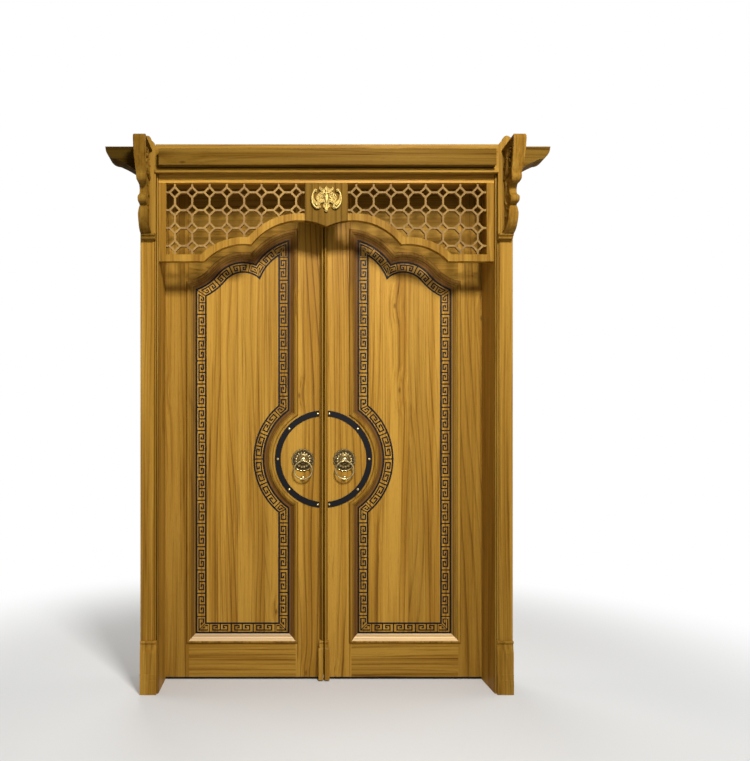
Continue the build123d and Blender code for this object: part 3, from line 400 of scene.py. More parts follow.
class KeyRun:
    """One run of the key band: one side of the panel, or two that flow into each other.

    A place in it is a distance along the middle of the band. On an arc this is the angle times the middle's
    radius, so that a line across the band points at the arc's centre.
    """

    def __init__(self, numbers):
        self.sides = []
        total = 0.0
        lanes = [panel_sides(inset) for inset in KEY_LANES]
        for number in numbers:
            start, end, circle = panel_sides(KEY_MIDDLE)[number]
            if circle:
                first = math.atan2(start[1] - circle[1], start[0] - circle[0])
                last = math.atan2(end[1] - circle[1], end[0] - circle[0])
                size = abs(last - first) * circle[2]
                lane_radius = np.array([lane[number][2][2] for lane in lanes])
                shape = ("arc", circle, first, math.copysign(1, last - first), lane_radius)
            else:
                size = math.dist(start, end)
                along = np.subtract(end, start) / size
                base = np.array([lane[number][0] for lane in lanes])
                base = base - np.outer((base - np.array(start)) @ along, along)
                shape = ("line", along, base)
            self.sides.append((total, total + size, shape))
            total += size
        self.start = np.array([self.locate(lane[numbers[0]][0], 0) for lane in lanes])
        self.end = np.array([self.locate(lane[numbers[-1]][1], -1) for lane in lanes])

    def locate(self, point, side):
        """Distance along the run of a point beside one of its sides."""
        low, _, shape = self.sides[side]
        if shape[0] == "line":
            return low + float((np.array(point) - shape[2][0]) @ shape[1])
        _, circle, first, sense, _ = shape
        turn = math.atan2(point[1] - circle[1], point[0] - circle[0]) - first
        turn = (turn + math.pi) % (2 * math.pi) - math.pi
        return low + sense * turn * circle[2]

    def points(self, along):
        """Points (lane edge, column edge, 2) for distances given for each lane edge and column edge."""
        made = np.zeros((*along.shape, 2))
        for number, (low, high, shape) in enumerate(self.sides):
            inside = along >= low if number else np.ones(along.shape, bool)
            if shape[0] == "line":
                _, way, base = shape
                spot = base[:, None, :] + (along - low)[:, :, None] * way
            else:
                _, circle, first, sense, radius = shape
                turn = first + sense * (along - low) / circle[2]
                spot = np.stack((np.cos(turn), np.sin(turn)), -1) * radius[:, None, None] + circle[:2]
            made[inside] = spot[inside]
        return made

    def curved(self, along):
        """Whether a distance lies on an arc."""
        return any(low - 1e-6 <= along < high and shape[0] == "arc" for low, high, shape in self.sides)


def key_half(cross, stem):
    """Column edges of half a key, from the middle of its cross line to the middle of its stem.

    cross and stem are distances along the run for each lane edge. Edges beside a mitre keep its slope, and
    all are drawn in together where the half is too short. Returns an array (lane edge, column edge).
    """
    sense = np.sign(stem.mean() - cross.mean())
    width = KEY_LANES[-1] - KEY_LANES[0]
    lean = [math.hypot(1.0, (line[-1] - line[0]) / width) for line in (cross, stem)]
    needed = KEY_CROSS[-1] * lean[0] + KEY_STEM[-1] * lean[1] + KEY_REST
    fit = min(1.0, float((sense * (stem - cross)).min()) / needed)
    by_cross = cross[:, None] + sense * fit * lean[0] * KEY_CROSS
    by_stem = stem[:, None] - sense * fit * lean[1] * KEY_STEM
    rest = sense * (by_stem[:, -1] - by_cross[:, -1])
    tick = by_stem[:, -1] - sense * np.minimum(KEY_TICK_SHARE * rest, KEY_TICK)
    return np.column_stack((by_cross, tick, by_stem[:, ::-1]))


def key_run(numbers, begins_with_cross, places):
    """Points and mask of one run, whose places are the cross and stem middles between its two ends."""
    run = KeyRun(numbers)
    lines = [run.start, *[np.full(len(KEY_LANES), place) for place in places], run.end]
    edges, masks = [run.start], []
    for number in range(len(lines) - 1):
        from_cross = begins_with_cross == (number % 2 == 0)
        cross, stem = (lines[number], lines[number + 1]) if from_cross else (lines[number + 1], lines[number])
        half, wood = key_half(cross, stem), KEY_WOOD
        if not from_cross:
            half, wood = half[:, ::-1], wood[:, ::-1]
        for column in range(wood.shape[1]):
            low, high = half[:, column], half[:, column + 1]
            steps = math.ceil(abs(high - low).max() / KEY_STEP)
            count = max(1, steps) if run.curved(low.mean()) else 1
            for part in range(1, count + 1):
                edges.append(low + (high - low) * part / count)
                masks.append(wood[:, column])
    return run.points(np.column_stack(edges))[:, :-1], np.column_stack(masks)


def spaced(start, end, count):
    """Places from one distance to another in equal steps, both ends included."""
    return [start + (end - start) * k / count for k in range(count + 1)]


def even(numbers, count):
    """Places that cut a run into equal halves of keys."""
    run = KeyRun(numbers)
    return spaced(run.start.mean(), run.end.mean(), count)[1:-1]


def key_ring():
    """Points (lane edge, column edge, 2) and mask of the whole key band of the right leaf, clockwise."""
    top, low, high = panel_sides(KEY_MIDDLE)[3][0][1], LINE_BOTTOM + KEY_MIDDLE, LINE_HINGE - KEY_MIDDLE
    under, above = panel_sides(KEY_MIDDLE)[5][1][1], panel_sides(KEY_MIDDLE)[7][0][1]
    arc = CIRCLE_RADIUS + KEY_MIDDLE
    half_turn = math.asin((above - CIRCLE_HEIGHT) / arc)
    circle_ends = [arc * (half_turn + turn) for turn in (-CIRCLE_KEYS, CIRCLE_KEYS)]
    foot_ends = [high - LINE_HINGE + FOOT_KEYS[0], high - LINE_MEETING - FOOT_KEYS[1]]
    runs = [
        key_run([0], False, even([0], 4)),
        key_run([1, 2], False, even([1, 2], 7)),
        key_run([3], True, [top - HINGE_FIRST, *spaced(*(top - place for place in HINGE_KEYS), 26)]),
        key_run([4], False, spaced(*foot_ends, 6)),
        key_run([5], False, spaced(*(place - low for place in UNDER_KEYS), 8)),
        key_run([6], False, spaced(*circle_ends, 8)),
        key_run([7], False, spaced(*(place - above for place in ABOVE_KEYS), 12)),
    ]
    return np.concatenate([run[0] for run in runs], 1), np.concatenate([run[1] for run in runs], 1)


def raised_cells(points, mask, front, back):
    """Closed solid over the marked cells of a grid whose last column joins its first.

    The front and back of every marked cell are quads, and a side closes each edge between a marked cell
    and one that isn't.
    """
    rows, columns = points.shape[:2]
    index = np.arange(rows * columns).reshape(rows, columns)
    after = np.roll(index, -1, 1)
    cells = np.stack((index[:-1], after[:-1], after[1:], index[1:]), -1)
    padded = np.pad(mask, ((1, 1), (0, 0)))
    beside = (padded[:-2], np.roll(mask, -1, 1), padded[2:], np.roll(mask, 1, 1))
    count = rows * columns
    faces = [cells[mask], cells[mask][:, ::-1] + count]
    for side, neighbour in enumerate(beside):
        edge = cells[mask & ~neighbour][:, [(side + 1) % 4, side]]
        faces.append(np.concatenate((edge, edge[:, ::-1] + count), 1))
    faces = np.concatenate(faces)
    flat = points.reshape(-1, 2)
    layers = [np.column_stack((flat[:, 0], np.full(count, depth), flat[:, 1])) for depth in (front, back)]
    used, faces = np.unique(faces, return_inverse=True)
    return np.concatenate(layers)[used], [faces.reshape(-1, 4)]


# Node trees


def give(node, **values):
    """Set or link inputs of a node, each named by its label, or by its number as in i1."""
    for key, value in values.items():
        numbered = key[0] == "i" and key[1:].isdigit()
        socket = node.inputs[int(key[1:]) if numbered else key.replace("_", " ")]
        if isinstance(value, Value):
            node.id_data.links.new(value.socket, socket)
        else:
            socket.default_value = value


def add(tree, kind, options=None, **values):
    """A new shader node with its options and inputs set."""
    made = tree.nodes.new("ShaderNode" + kind)
    for key, option in (options or {}).items():
        setattr(made, key, option)
    give(made, **values)
    return made


class Value:
    """One output of a node, which stands in a sum like a number."""

    def __init__(self, node, output=0):
        self.tree, self.socket = node.id_data, node.outputs[output]

    def sum(self, operation, *others):
        """Output of a Math node over this value and the others."""
        inputs = {f"i{k}": value for k, value in enumerate((self, *others))}
        return Value(add(self.tree, "Math", {"operation": operation}, **inputs))

    __add__ = functools.partialmethod(sum, "ADD")
    __sub__ = functools.partialmethod(sum, "SUBTRACT")
    __mul__ = functools.partialmethod(sum, "MULTIPLY")
    __truediv__ = functools.partialmethod(sum, "DIVIDE")
    __abs__ = functools.partialmethod(sum, "ABSOLUTE")
    __gt__ = functools.partialmethod(sum, "GREATER_THAN")

    def __rsub__(self, other):
        return self * -1.0 + other


def split(vector):
    """X, Y and Z of a vector."""
    parts = add(vector.tree, "SeparateXYZ", Vector=vector)
    return [Value(parts, k) for k in range(3)]


def larger(first, second):
    """The larger of two values."""
    return first.sum("MAXIMUM", second)


def moved(vector, shift):
    """The vector with another added."""
    return Value(add(vector.tree, "VectorMath", {"operation": "ADD"}, i0=vector, i1=shift))


def scaled(tree, vector, factor):
    """The vector or colour times a factor."""
    return Value(add(tree, "VectorMath", {"operation": "SCALE"}, i0=vector, Scale=factor))


def noise(vector, scale, detail=2.0, roughness=0.5, output=0):
    """Noise texture over a vector that is first scaled along each axis; output 1 is its colour."""
    tree = vector.tree
    spot = Value(add(tree, "Mapping", Vector=vector, Scale=scale))
    return Value(add(tree, "TexNoise", Vector=spot, Scale=1.0, Detail=detail, Roughness=roughness), output)


def spread(value, low, high, to_low=0.0, to_high=1.0, smooth=False):
    """The value carried from one range to another and held at its ends."""
    options = {"interpolation_type": "SMOOTHSTEP" if smooth else "LINEAR", "clamp": True}
    return Value(add(value.tree, "MapRange", options, i0=value, i1=low, i2=high, i3=to_low, i4=to_high))


def blended(tree, share, first, second, kind="RGBA"):
    """Colour or vector mixed by a share from the first to the second."""
    sockets, output = {"RGBA": ((6, 7), 2), "VECTOR": ((4, 5), 1)}[kind]
    ends = {f"i{number}": end for number, end in zip(sockets, (first, second))}
    return Value(add(tree, "Mix", {"data_type": kind}, i0=share, **ends), output)


FLOAT, COLOUR, VECTOR = "NodeSocketFloat", "NodeSocketColor", "NodeSocketVector"


def new_group(name, inputs, outputs):
    """Node group with named inputs and outputs, with its ends."""
    group = bpy.data.node_groups.new(name, "ShaderNodeTree")
    for way, sockets in (("INPUT", inputs), ("OUTPUT", outputs)):
        for label, kind in sockets.items():
            group.interface.new_socket(name=label, in_out=way, socket_type=kind)
    return group, group.nodes.new("NodeGroupInput"), group.nodes.new("NodeGroupOutput")


# Scale of each part of the grain: across it twice, then along it
SWAY_SCALE = (1.6, 1.6, 0.6)
BROAD_SCALE = (12.0, 12.0, 0.35)
STREAK_SCALE = (70.0, 70.0, 0.8)
FIBRE_SCALE = (300.0, 300.0, 4.0)
RING_SCALE = (2.0, 2.0, 0.30)
PORE_SCALE = (620.0, 620.0, 22.0)
RINGS_PER_METRE, RING_WANDER = 24.0, 11.0
KNOT_SCALE, KNOT_LENGTH = 1.7, 0.42

# How far the grain sways, also beside a knot, how much each part darkens the wood, and the most of all
SWAY, KNOT_SWAY = 0.035, 0.03
LATE_DARK, STREAK_DARK, FIBRE_DARK, PORE_DARK, KNOT_DARK, MOST_DARK = 0.75, 0.55, 0.16, 0.22, 0.6, 0.9

# The planks of a panel: radians a metre and size of the sway of their joints, how far apart in the wood
# they are cut, their range of tones, and where a joint begins and is darkest, as shares of a width
PLANK_WAVE, PLANK_SWAY, PLANK_SHIFT = 17.0, 0.025, 9.0
PLANK_TONES, JOINT_EDGE = (0.9, 1.08), (0.482, 0.497)


def oak_grain():
    """Node group of oiled hardwood whose grain runs along the vector's Z.

    A slow noise stretched along the grain mixes the middle and light colours. X times a number, swayed by a
    slower noise, is cut to its part left over: these are the growth rings, each darkening to a thin late
    line. Fine fibres, pores and a few knots darken it further.
    """
    if "Oak grain" in bpy.data.node_groups:
        return bpy.data.node_groups["Oak grain"]
    group, start, end = new_group(
        "Oak grain",
        {"Vector": VECTOR, "Light": COLOUR, "Middle": COLOUR, "Dark": COLOUR, "Figure": FLOAT, "Tone": FLOAT},
        {"Color": COLOUR, "Roughness": FLOAT, "Height": FLOAT},
    )
    vector, light, middle, dark, figure, tone = (Value(start, k) for k in range(6))
    across, _, up = split(vector)
    flat = Value(add(group, "CombineXYZ", X=across, Y=up * KNOT_LENGTH))
    knots = add(group, "TexVoronoi", {"voronoi_dimensions": "2D"}, Vector=flat, Scale=KNOT_SCALE)
    near_knot = spread(Value(knots, "Distance"), 0.0, 0.16, 1.0, 0.0, smooth=True)
    knot = spread(Value(knots, "Distance"), 0.004, 0.022, 1.0, 0.0, smooth=True)
    sway = scaled(group, noise(vector, SWAY_SCALE, output=1), near_knot * KNOT_SWAY + SWAY)
    bent = moved(vector, sway)
    broad = noise(bent, BROAD_SCALE)
    streak = noise(bent, STREAK_SCALE, 3.0, 0.6)
    fine = noise(bent, FIBRE_SCALE, 2.0, 0.6)
    rings = noise(bent, RING_SCALE, 1.0, 0.4) * RING_WANDER
    ring = (split(bent)[0] * RINGS_PER_METRE + rings).sum("FRACT")
    late = spread(ring, 0.62, 0.96, smooth=True) * spread(ring, 1.0, 0.96) * spread(broad, 0.66, 0.40)
    colour = blended(group, spread((streak - 0.5) * 0.9 + broad, 0.34, 0.68), middle, light)
    pores = spread(noise(bent, PORE_SCALE, 1.0), 0.60, 0.70)
    shade = late * figure * LATE_DARK + spread(streak, 0.38, 0.27) * STREAK_DARK
    shade = shade + spread(fine, 0.52, 0.30) * FIBRE_DARK + pores * PORE_DARK + knot * KNOT_DARK
    colour = blended(group, shade.sum("MINIMUM", MOST_DARK), colour, dark)
    rough = spread(pores * 0.3 + fine, 0.3, 0.9, 0.38, 0.58)
    give(end, Color=scaled(group, colour, tone), Roughness=rough, Height=fine * 0.5 - pores * 0.6)
    return group


def plank_joints():
    """Node group that cuts a face into upright planks of uneven width.

    X is swayed by a slow sine and divided by the plank width; the whole number picks a random shift of the
    grain for each plank, and the part left over is near 0 or 1 at a joint.
    """
    if "Plank joints" in bpy.data.node_groups:
        return bpy.data.node_groups["Plank joints"]
    group, start, end = new_group(
        "Plank joints", {"Vector": VECTOR, "Width": FLOAT}, {"Vector": VECTOR, "Joint": FLOAT, "Tone": FLOAT},
    )
    vector, width = Value(start, "Vector"), Value(start, "Width")
    across = split(vector)[0]
    across = (across + (across * PLANK_WAVE).sum("SINE") * PLANK_SWAY) / width
    random = add(group, "TexWhiteNoise", {"noise_dimensions": "1D"}, W=across.sum("FLOOR"))
    shift = scaled(group, Value(random, "Color"), PLANK_SHIFT)
    edge = abs(across.sum("FRACT") - 0.5)
    tone = spread(Value(random, "Value"), 0.0, 1.0, *PLANK_TONES)
    give(end, Vector=moved(vector, shift), Joint=spread(edge, *JOINT_EDGE), Tone=tone)
    return group


GRAIN_TURN = {"upright": (0.0, 0.0, 0.0), "mitred": (0.0, 0.0, 0.0), "level": (0.0, math.pi / 2, 0.0)}
BOARD_STEPS, BOARD_SPAN = (0.731, 1.317, 2.113), 5.0


def board_shift(seed):
    """Where in the wood a board is cut from, so that neighbours don't share their grain."""
    return tuple(seed * step % BOARD_SPAN for step in BOARD_STEPS)


def new_material(name):
    """Empty material with its output and a Principled shader."""
    material = bpy.data.materials.new(name)
    material.use_nodes = True
    tree = material.node_tree
    tree.nodes.clear()
    shader = add(tree, "BsdfPrincipled")
    add(tree, "OutputMaterial", Surface=Value(shader))
    return material, tree, shader


def moulding_lengths(place):
    """Three masks of the panel moulding: the slope of its foot, between the mitres, which takes level grain
    and a painted highlight, its hinge side, which takes less painted shade, and its head, from the shoulder
    of the panel upwards, which takes more.
    """
    across, _, up = split(place)
    across = abs(across)
    past_hinge = across - LINE_HINGE
    length = LINE_BOTTOM - up > larger(LINE_MEETING - across, past_hinge)
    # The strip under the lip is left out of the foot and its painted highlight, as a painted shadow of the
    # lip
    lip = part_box("left_panel_moulding")[0].z + FOOT_SHADOW_STRIP
    return length * (up > lip), past_hinge > 0.0, spread(up, *HEAD_START)


def oak(name, look, seed, grain="upright", tone=1.0, figure=0.5, planks=0.0, pale=0.0, beaded=False):
    """Oiled hardwood for one board, cut at its own place, with the grain upright, level or mitred.

    The panel moulding is mitred: painted shade darkens it towards the panel, less on its hinge side and more
    at its head, a thin painted shadow line lies at every few millimetres of its depth, and a painted
    highlight makes its bottom length paler. A beaded board has painted shade in the grooves beside its beads.
    """
    material, tree, shader = new_material(name)
    place = Value(add(tree, "TexCoord"), "Object")
    gloss = WOOD_GLOSS * tone**2
    joint = None
    if planks:
        cut = add(tree, "Group", {"node_tree": plank_joints()}, Vector=place, Width=planks)
        place, joint = Value(cut, "Vector"), Value(cut, "Joint")
        tone = Value(cut, "Tone") * tone
    turned = Value(add(tree, "Mapping", Vector=place, Rotation=GRAIN_TURN[grain], Location=board_shift(seed)))
    if grain == "mitred":
        foot, hinge, head = moulding_lengths(place)
        depth = split(place)[1]
        # Painted shade: darker towards the panel, none on the foot, less on the hinge side, more at the head
        deep = spread(depth, *MOULDING_DEPTH, 1.0, 0.0, smooth=True)
        deep = deep * spread(foot, 0.0, 1.0, 1.0, 0.0) * spread(hinge, 0.0, 1.0, 1.0, HINGE_SIDE_SHADE)
        deep = larger(deep, head * HEAD_SHADE)
        # Painted shadow lines at every few millimetres of depth, standing for steps in the profile
        line = abs((depth / look.line_step).sum("FRACT") - 0.5)
        shade = spread(deep, 0.0, 1.0, 1.0, RECESS_SHADE_TONE) * spread(line, *SHADOW_LINE_WIDTH, 1.0, SHADOW_LINE_TONE)
        # The foot's tone is raised as a painted highlight
        tone = shade * spread(foot, 0.0, 1.0, 1.0, FOOT_HIGHLIGHT_TONE) * tone
        level = Value(add(tree, "Mapping", Vector=place, Rotation=GRAIN_TURN["level"]))
        turned = blended(tree, foot, turned, level, "VECTOR")
    if beaded:
        # Painted shade in the grooves beside the beads
        across, depth, _ = split(place)
        plain = larger(spread(depth, *REVEAL_START), abs(across) > BEAD_EDGE)
        tone = larger(spread(depth, *GROOVE_END, 1.0, GROOVE_SHADE_TONE), plain) * tone
    wood = add(
        tree, "Group", {"node_tree": oak_grain()}, Vector=turned, Light=(*look.light, 1.0),
        Middle=(*look.middle, 1.0), Dark=(*look.dark, 1.0), Figure=figure, Tone=tone,
    )
    colour = Value(wood, "Color")
    if grain == "mitred":
        # Painted shade deep in the moulding, blended toward the umber colour
        colour = blended(tree, deep * SHADE_UMBER_SHARE, colour, (*look.umber, 1.0))
        pale = foot * FOOT_HIGHLIGHT_SHARE
    # The pale blend gives the lattice its lighter wood and the moulding's foot its painted highlight
    if pale:
        colour = blended(tree, pale, colour, scaled(tree, look.sheen, tone))
    if joint:
        colour = blended(tree, joint * JOINT_DARK, colour, (*look.dark, 1.0))
    bump = add(tree, "Bump", Height=Value(wood, "Height"), Strength=PORE_BUMP, Distance=PORE_DEPTH)
    give(shader, Base_Color=colour, Roughness=Value(wood, "Roughness"), Normal=Value(bump),
         Specular_IOR_Level=gloss)
    return material


def metal(name, colour, dark, roughness, patina=0.5, metallic=1.0, bump=0.2, recess=None, under_dome_shade=None):
    """Metal with slow tarnish, darker in cloudy patches, and a fine cast skin.

    recess is a range of depths on Y over which the metal darkens to its ground. The next argument, a range of
    heights, paints shade on the metal in front of the recess under the dome of a knocker plate.
    """
    material, tree, shader = new_material(name)
    place = Value(add(tree, "TexCoord"), "Object")
    cloud = noise(place, CLOUD_SCALE, 4.0, 0.6)
    share = spread(cloud, *CLOUD_EDGES) * patina
    if recess:
        _, depth, up = split(place)
        share = larger(share, spread(depth, *recess, 0.0, RECESS_DARK, smooth=True))
    if under_dome_shade:
        # Painted shade under the dome of a knocker plate
        share = larger(share, spread(up, *under_dome_shade, 0.0, UNDER_DOME_SHADE_DARK, smooth=True) * spread(depth, *DOME_FRONT))
    skin = add(tree, "Bump", Height=noise(place, GRIT_SCALE), Strength=bump, Distance=SKIN_DEPTH)
    give(
        shader, Base_Color=blended(tree, share, (*colour, 1.0), (*dark, 1.0)), Normal=Value(skin),
        Roughness=spread(cloud, 0.3, 0.7, roughness - 0.06, roughness + 0.12), Metallic=metallic,
        Specular_IOR_Level=METAL_GLOSS if metallic == 1.0 else PAINT_GLOSS,
    )
    return material


# Properties


def metres(default, label, text):
    """Property of a length in metres."""
    return bpy.props.FloatProperty(
        name=label, description=text, default=default, min=MM, precision=4, subtype="DISTANCE", unit="LENGTH")


def tint(default, label, text):
    """Property of a colour."""
    return bpy.props.FloatVectorProperty(
        name=label, description=text, default=default, subtype="COLOR", size=3, min=0.0, max=1.0)


def watts(default, label, text):
    """Property of a light's power."""
    return bpy.props.FloatProperty(name=label, description=text, default=default, min=0.0, unit="POWER")


class OakLook(bpy.types.PropertyGroup):
    """Colours and cut of the oiled wood."""

    light: tint((0.53, 0.285, 0.043), "Light streaks", "Colour of the palest streaks")
    middle: tint((0.35, 0.168, 0.019), "Middle", "Colour of most of the wood")
    dark: tint((0.10, 0.036, 0.006), "Dark streaks", "Colour of the darkest streaks and the pores")
    # Colour of the painted shade deep in the panel moulding
    umber: tint((0.14, 0.056, 0.018), "Umber", "Colour deep in the panel moulding")
    # Colour of the lighter wood of the lattice and of the painted highlight on the foot of the panel moulding
    sheen: tint((0.70, 0.55, 0.36), "Foot sheen", "Pale colour of the worn foot of the panel moulding")
    plank: metres(0.150, "Plank width", "Width of the planks of a panel")
    # Step between the painted shadow lines of the panel moulding
    line_step: metres(0.0100, "Line step", "Depth between two lines of the panel moulding")


class MetalColours(bpy.types.PropertyGroup):
    """Colours of the metalwork and the seals."""

    brass: tint((0.50, 0.39, 0.18), "Brass", "Colour of the knockers and nails")
    gilt: tint((0.36, 0.255, 0.08), "Gilt", "Colour of the gilded ornament")
    gilt_shade: tint((0.13, 0.085, 0.022), "Gilt shade", "Colour of the gilt in its recesses")
    # The tarnish colour also gives the painted shade under the dome of a knocker plate
    tarnish: tint((0.045, 0.028, 0.015), "Tarnish", "Colour of the tarnish on the brass")
    iron: tint((0.0045, 0.0045, 0.0055), "Iron", "Colour of the blackened iron and the black ground")
    brush: tint((0.12, 0.062, 0.025), "Brush seal", "Colour of the brush seals between the leaves")
    hinge: tint((0.27, 0.195, 0.085), "Hinge brass", "Colour of the hinge leaves and pins")
    screw: tint((0.35, 0.25, 0.11), "Screw brass", "Colour of the screws of the bar keepers")


class FittingSizes(bpy.types.PropertyGroup):
    """Sizes of the seals and screws."""

    seal_depth: metres(0.012, "Seal depth", "Depth of the meeting and bottom seals")
    screw_radius: metres(0.0052, "Screw radius", "Radius of a screw head on a bar keeper")


class StageSizes(bpy.types.PropertyGroup):
    """Camera and light."""

    eye: bpy.props.FloatVectorProperty(
        name="Eye", description="Place of the camera", default=(-0.339, -4.2704, 1.648),
        subtype="TRANSLATION", unit="LENGTH", size=3)
    lens: bpy.props.FloatProperty(name="Lens", description="Focal length in millimetres", default=29.2)
    front_power: watts(40.0, "Front light", "Power of the large front light")
    high_power: watts(326.0, "High light", "Power of the high light")
    side_power: watts(90.0, "Side lights", "Power of each side light")
    back_power: watts(260.0, "Back light", "Power of the light behind")


# Finish of each board by the ending of its name: tone and figure, for each way that the grain runs
# Where a left and a right board differ in tone, the difference is painted shade of light falling unevenly
# across the front
BOARDS = {
    "upright": {
        # The lower tones of the right casing and plinth are painted shade; the right casing's also holds the
        # painted shadow of its bracket
        "left_casing": (0.86, 0.5), "right_casing": (0.73, 0.5), "jamb": (0.80, 0.3),
        "left_plinth": (0.86, 0.4), "right_plinth": (0.64, 0.4),
        "rear_casing_left": (0.85, 0.3), "rear_casing_right": (0.85, 0.3),
        # The low tone of bracket_board is a painted shadow of the brackets
        "bracket_board": (0.60, 0.4), "left_bracket": (0.46, 0.5), "right_bracket": (0.57, 0.5),
        "left_stile": (0.68, 0.4), "right_stile": (0.62, 0.4),
        "left_rail": (0.78, 0.4), "right_rail": (0.62, 0.4), "valance_centre_block": (0.36, 0.9),
        "left_lattice": (0.64, 0.2), "right_lattice": (0.50, 0.2),
        "left_hinge_stile": (0.76, 0.7), "right_hinge_stile": (0.72, 0.7), "meeting_stile": (0.92, 0.9),
        "astragal": (0.64, 0.4), "astragal_block": (0.8, 0.2),
        "bar_keeper": (0.75, 0.3), "bar_keepers": (0.75, 0.3),
        "left_panel": (0.93, 0.8), "right_panel": (0.89, 0.8),
    },
    "level": {
        "rear_casing_head": (0.85, 0.3), "head_jamb": (0.80, 0.3),
        # The low tone of crown_board is partly a darker, redder wood and partly painted shade against the
        # near high light
        "crown_backing": (0.62, 0.3), "crown_board": (0.35, 0.6),
        # left_wing's low tone is a painted shadow; valance_top_rail's high tone is painted light over the
        # crown's shadow; top_rail's low tone is painted shade under the valance
        "left_wing": (0.11, 0.7), "right_wing": (0.30, 0.7), "valance_top_rail": (1.12, 0.3),
        "left_bottom_rail": (0.82, 0.95), "right_bottom_rail": (0.76, 0.95), "top_rail": (0.58, 0.5),
        "locking_bar": (0.7, 0.3),
    },
    "mitred": {"panel_moulding": (0.72, 0.4)},
}
LATTICE_PALE = 0.18
WOOD_GLOSS, PAINT_GLOSS, METAL_GLOSS = 0.06, 0.12, 0.5
PORE_DEPTH, PORE_BUMP, SKIN_DEPTH = 0.6 * MM, 0.25, 0.3 * MM
SHADE_UMBER_SHARE, FOOT_HIGHLIGHT_SHARE, JOINT_DARK = 0.55, 0.5, 0.55

# The panel moulding: where its painted shade darkens it towards the panel, where the painted shade of its
# head begins, the strip under its foot that the painted highlight leaves out, as a painted shadow of the lip,
# how dark the painted shade of its hinge side and head is beside its deepest line, and how wide its painted
# shadow lines are
MOULDING_DEPTH = (PANEL_FACE - 4 * MM, LEAF_FACE - 8 * MM)
HEAD_START = (LINE_TOP - 0.40, LINE_TOP - 0.30)
# Height of the strip under the foot left out of its painted highlight, as a painted shadow of the lip
FOOT_SHADOW_STRIP = 19 * MM
HINGE_SIDE_SHADE, HEAD_SHADE = 0.4, 0.65
SHADOW_LINE_WIDTH = (0.26, 0.46)

# Depths on the casings where the painted shade in the groove beside the beads ends, and where the plain
# reveal begins
GROOVE_END = (CASING_FACE + 7.6 * MM, CASING_FACE + 10 * MM)
REVEAL_START = (CASING_FACE + 13 * MM, CASING_FACE + 14 * MM)
RECESS_SHADE_TONE, SHADOW_LINE_TONE, FOOT_HIGHLIGHT_TONE, GROOVE_SHADE_TONE = 0.66, 0.4, 2.3, 0.12

# The metals: depths of their tarnished recesses, heights of the painted shade under the dome of a plate,
# scales of the tarnish, where a cloud of it begins and is darkest, and how dark the recesses and the painted
# shade under the dome are
PLATE_RECESS = (LEAF_FACE - 13 * MM, LEAF_FACE - 3 * MM)
DOME_FRONT = (LEAF_FACE - 14 * MM, LEAF_FACE - 15 * MM)
DOME_UNDER = (PLATE_MIDDLE + 2 * MM, PLATE_MIDDLE - 12 * MM)
BAT_RECESS = (VALANCE_FACE - 19 * MM, VALANCE_FACE - 11 * MM)
CLOUD_SCALE, GRIT_SCALE = (38.0,) * 3, (900.0,) * 3
CLOUD_EDGES, RECESS_DARK, UNDER_DOME_SHADE_DARK = (0.38, 0.66), 0.95, 0.9


def board_finish(node):
    """The grain, tone and figure of a node: the longest ending in the table that its name has."""
    endings = [(len(ending), grain, *finish) for grain, boards in BOARDS.items()
               for ending, finish in boards.items() if node.endswith(ending)]
    return max(endings)[1:]


def finish_of(node):
    """The material of a CAD node."""
    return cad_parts[node].material_slots[0].material


class DOORS_OT_finishes(bpy.types.Operator):
    """Give every CAD piece its wood or metal"""

    bl_idname = "doors.finishes"
    bl_label = "Wood and metal finishes"

    def execute(self, context):
        look, metals = context.scene.doors_oak, context.scene.doors_metal
        whole = {
            "fret_band": metal("black_ground", metals.iron, metals.iron, 0.5, metallic=0.0, bump=0.1),
            "iron_ring": metal("blackened_iron", metals.iron, metals.iron, 0.42, metallic=0.0, bump=0.25),
            "door_studs": metal("stud_brass", metals.brass, metals.tarnish, 0.25, 0.2),
            "knocker_plate": metal("plate_brass", metals.brass, metals.tarnish, 0.28, 0.5,
                                   recess=PLATE_RECESS, under_dome_shade=DOME_UNDER),
            "knocker_ring": metal("ring_brass", metals.brass, metals.tarnish, 0.3, 0.6),
            "bat_ornament": metal("gilding", metals.gilt, metals.gilt_shade, 0.48, 0.3, recess=BAT_RECESS),
            "hinges": metal("hinge_brass", metals.hinge, metals.tarnish, 0.45, 0.4),
        }
        for seed, node in enumerate(sorted(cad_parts), 1):
            found = [ending for ending in whole if node.endswith(ending)]
            finish = whole[found[0]] if found else oak(
                f"oak_{node}", look, seed, *board_finish(node),
                planks=look.plank if node.endswith("panel") else 0.0,
                pale=LATTICE_PALE if node.endswith("lattice") else 0.0,
                beaded=node in ("left_casing", "right_casing"),
            )
            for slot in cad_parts[node].material_slots:
                slot.material = finish
        return {"FINISHED"}


class DOORS_OT_key_bands(bpy.types.Operator):
    """Raise the wooden key pattern on the black band of both leaves"""

    bl_idname = "doors.key_bands"
    bl_label = "Key bands"

    def execute(self, context):
        parts = [raised_cells(*key_ring(), PANEL_FACE, BAND_GROUND + KEY_SUNK)]
        make_pair("key_band", parts, "panel", "{}_leaf")
        return {"FINISHED"}


class DOORS_OT_bat_relief(bpy.types.Operator):
    """Carve the relief on the gilded bat"""

    bl_idname = "doors.bat_relief"
    bl_label = "Bat relief"

    def execute(self, context):
        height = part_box("bat_ornament")[1].z - BAT_RISE
        paired = [self.stroke(height, *row) for row in BAT_PAIRED]
        parts = paired + mirrored(paired) + [self.stroke(height, *row) for row in BAT_MIDDLE]
        make_piece("bat_relief", parts, finish_of("bat_ornament"), "frame", crease=60.0)
        return {"FINISHED"}

    def stroke(self, height, rows, flat, lift):
        """One stroke, lying on the face of the bat."""
        rows = curve(rows, 4) * MM
        away = np.full(len(rows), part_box("bat_ornament")[0].y - lift * MM)
        return vine(np.column_stack((rows[:, 0], away, height + rows[:, 1])), rows[:, 2], flat)


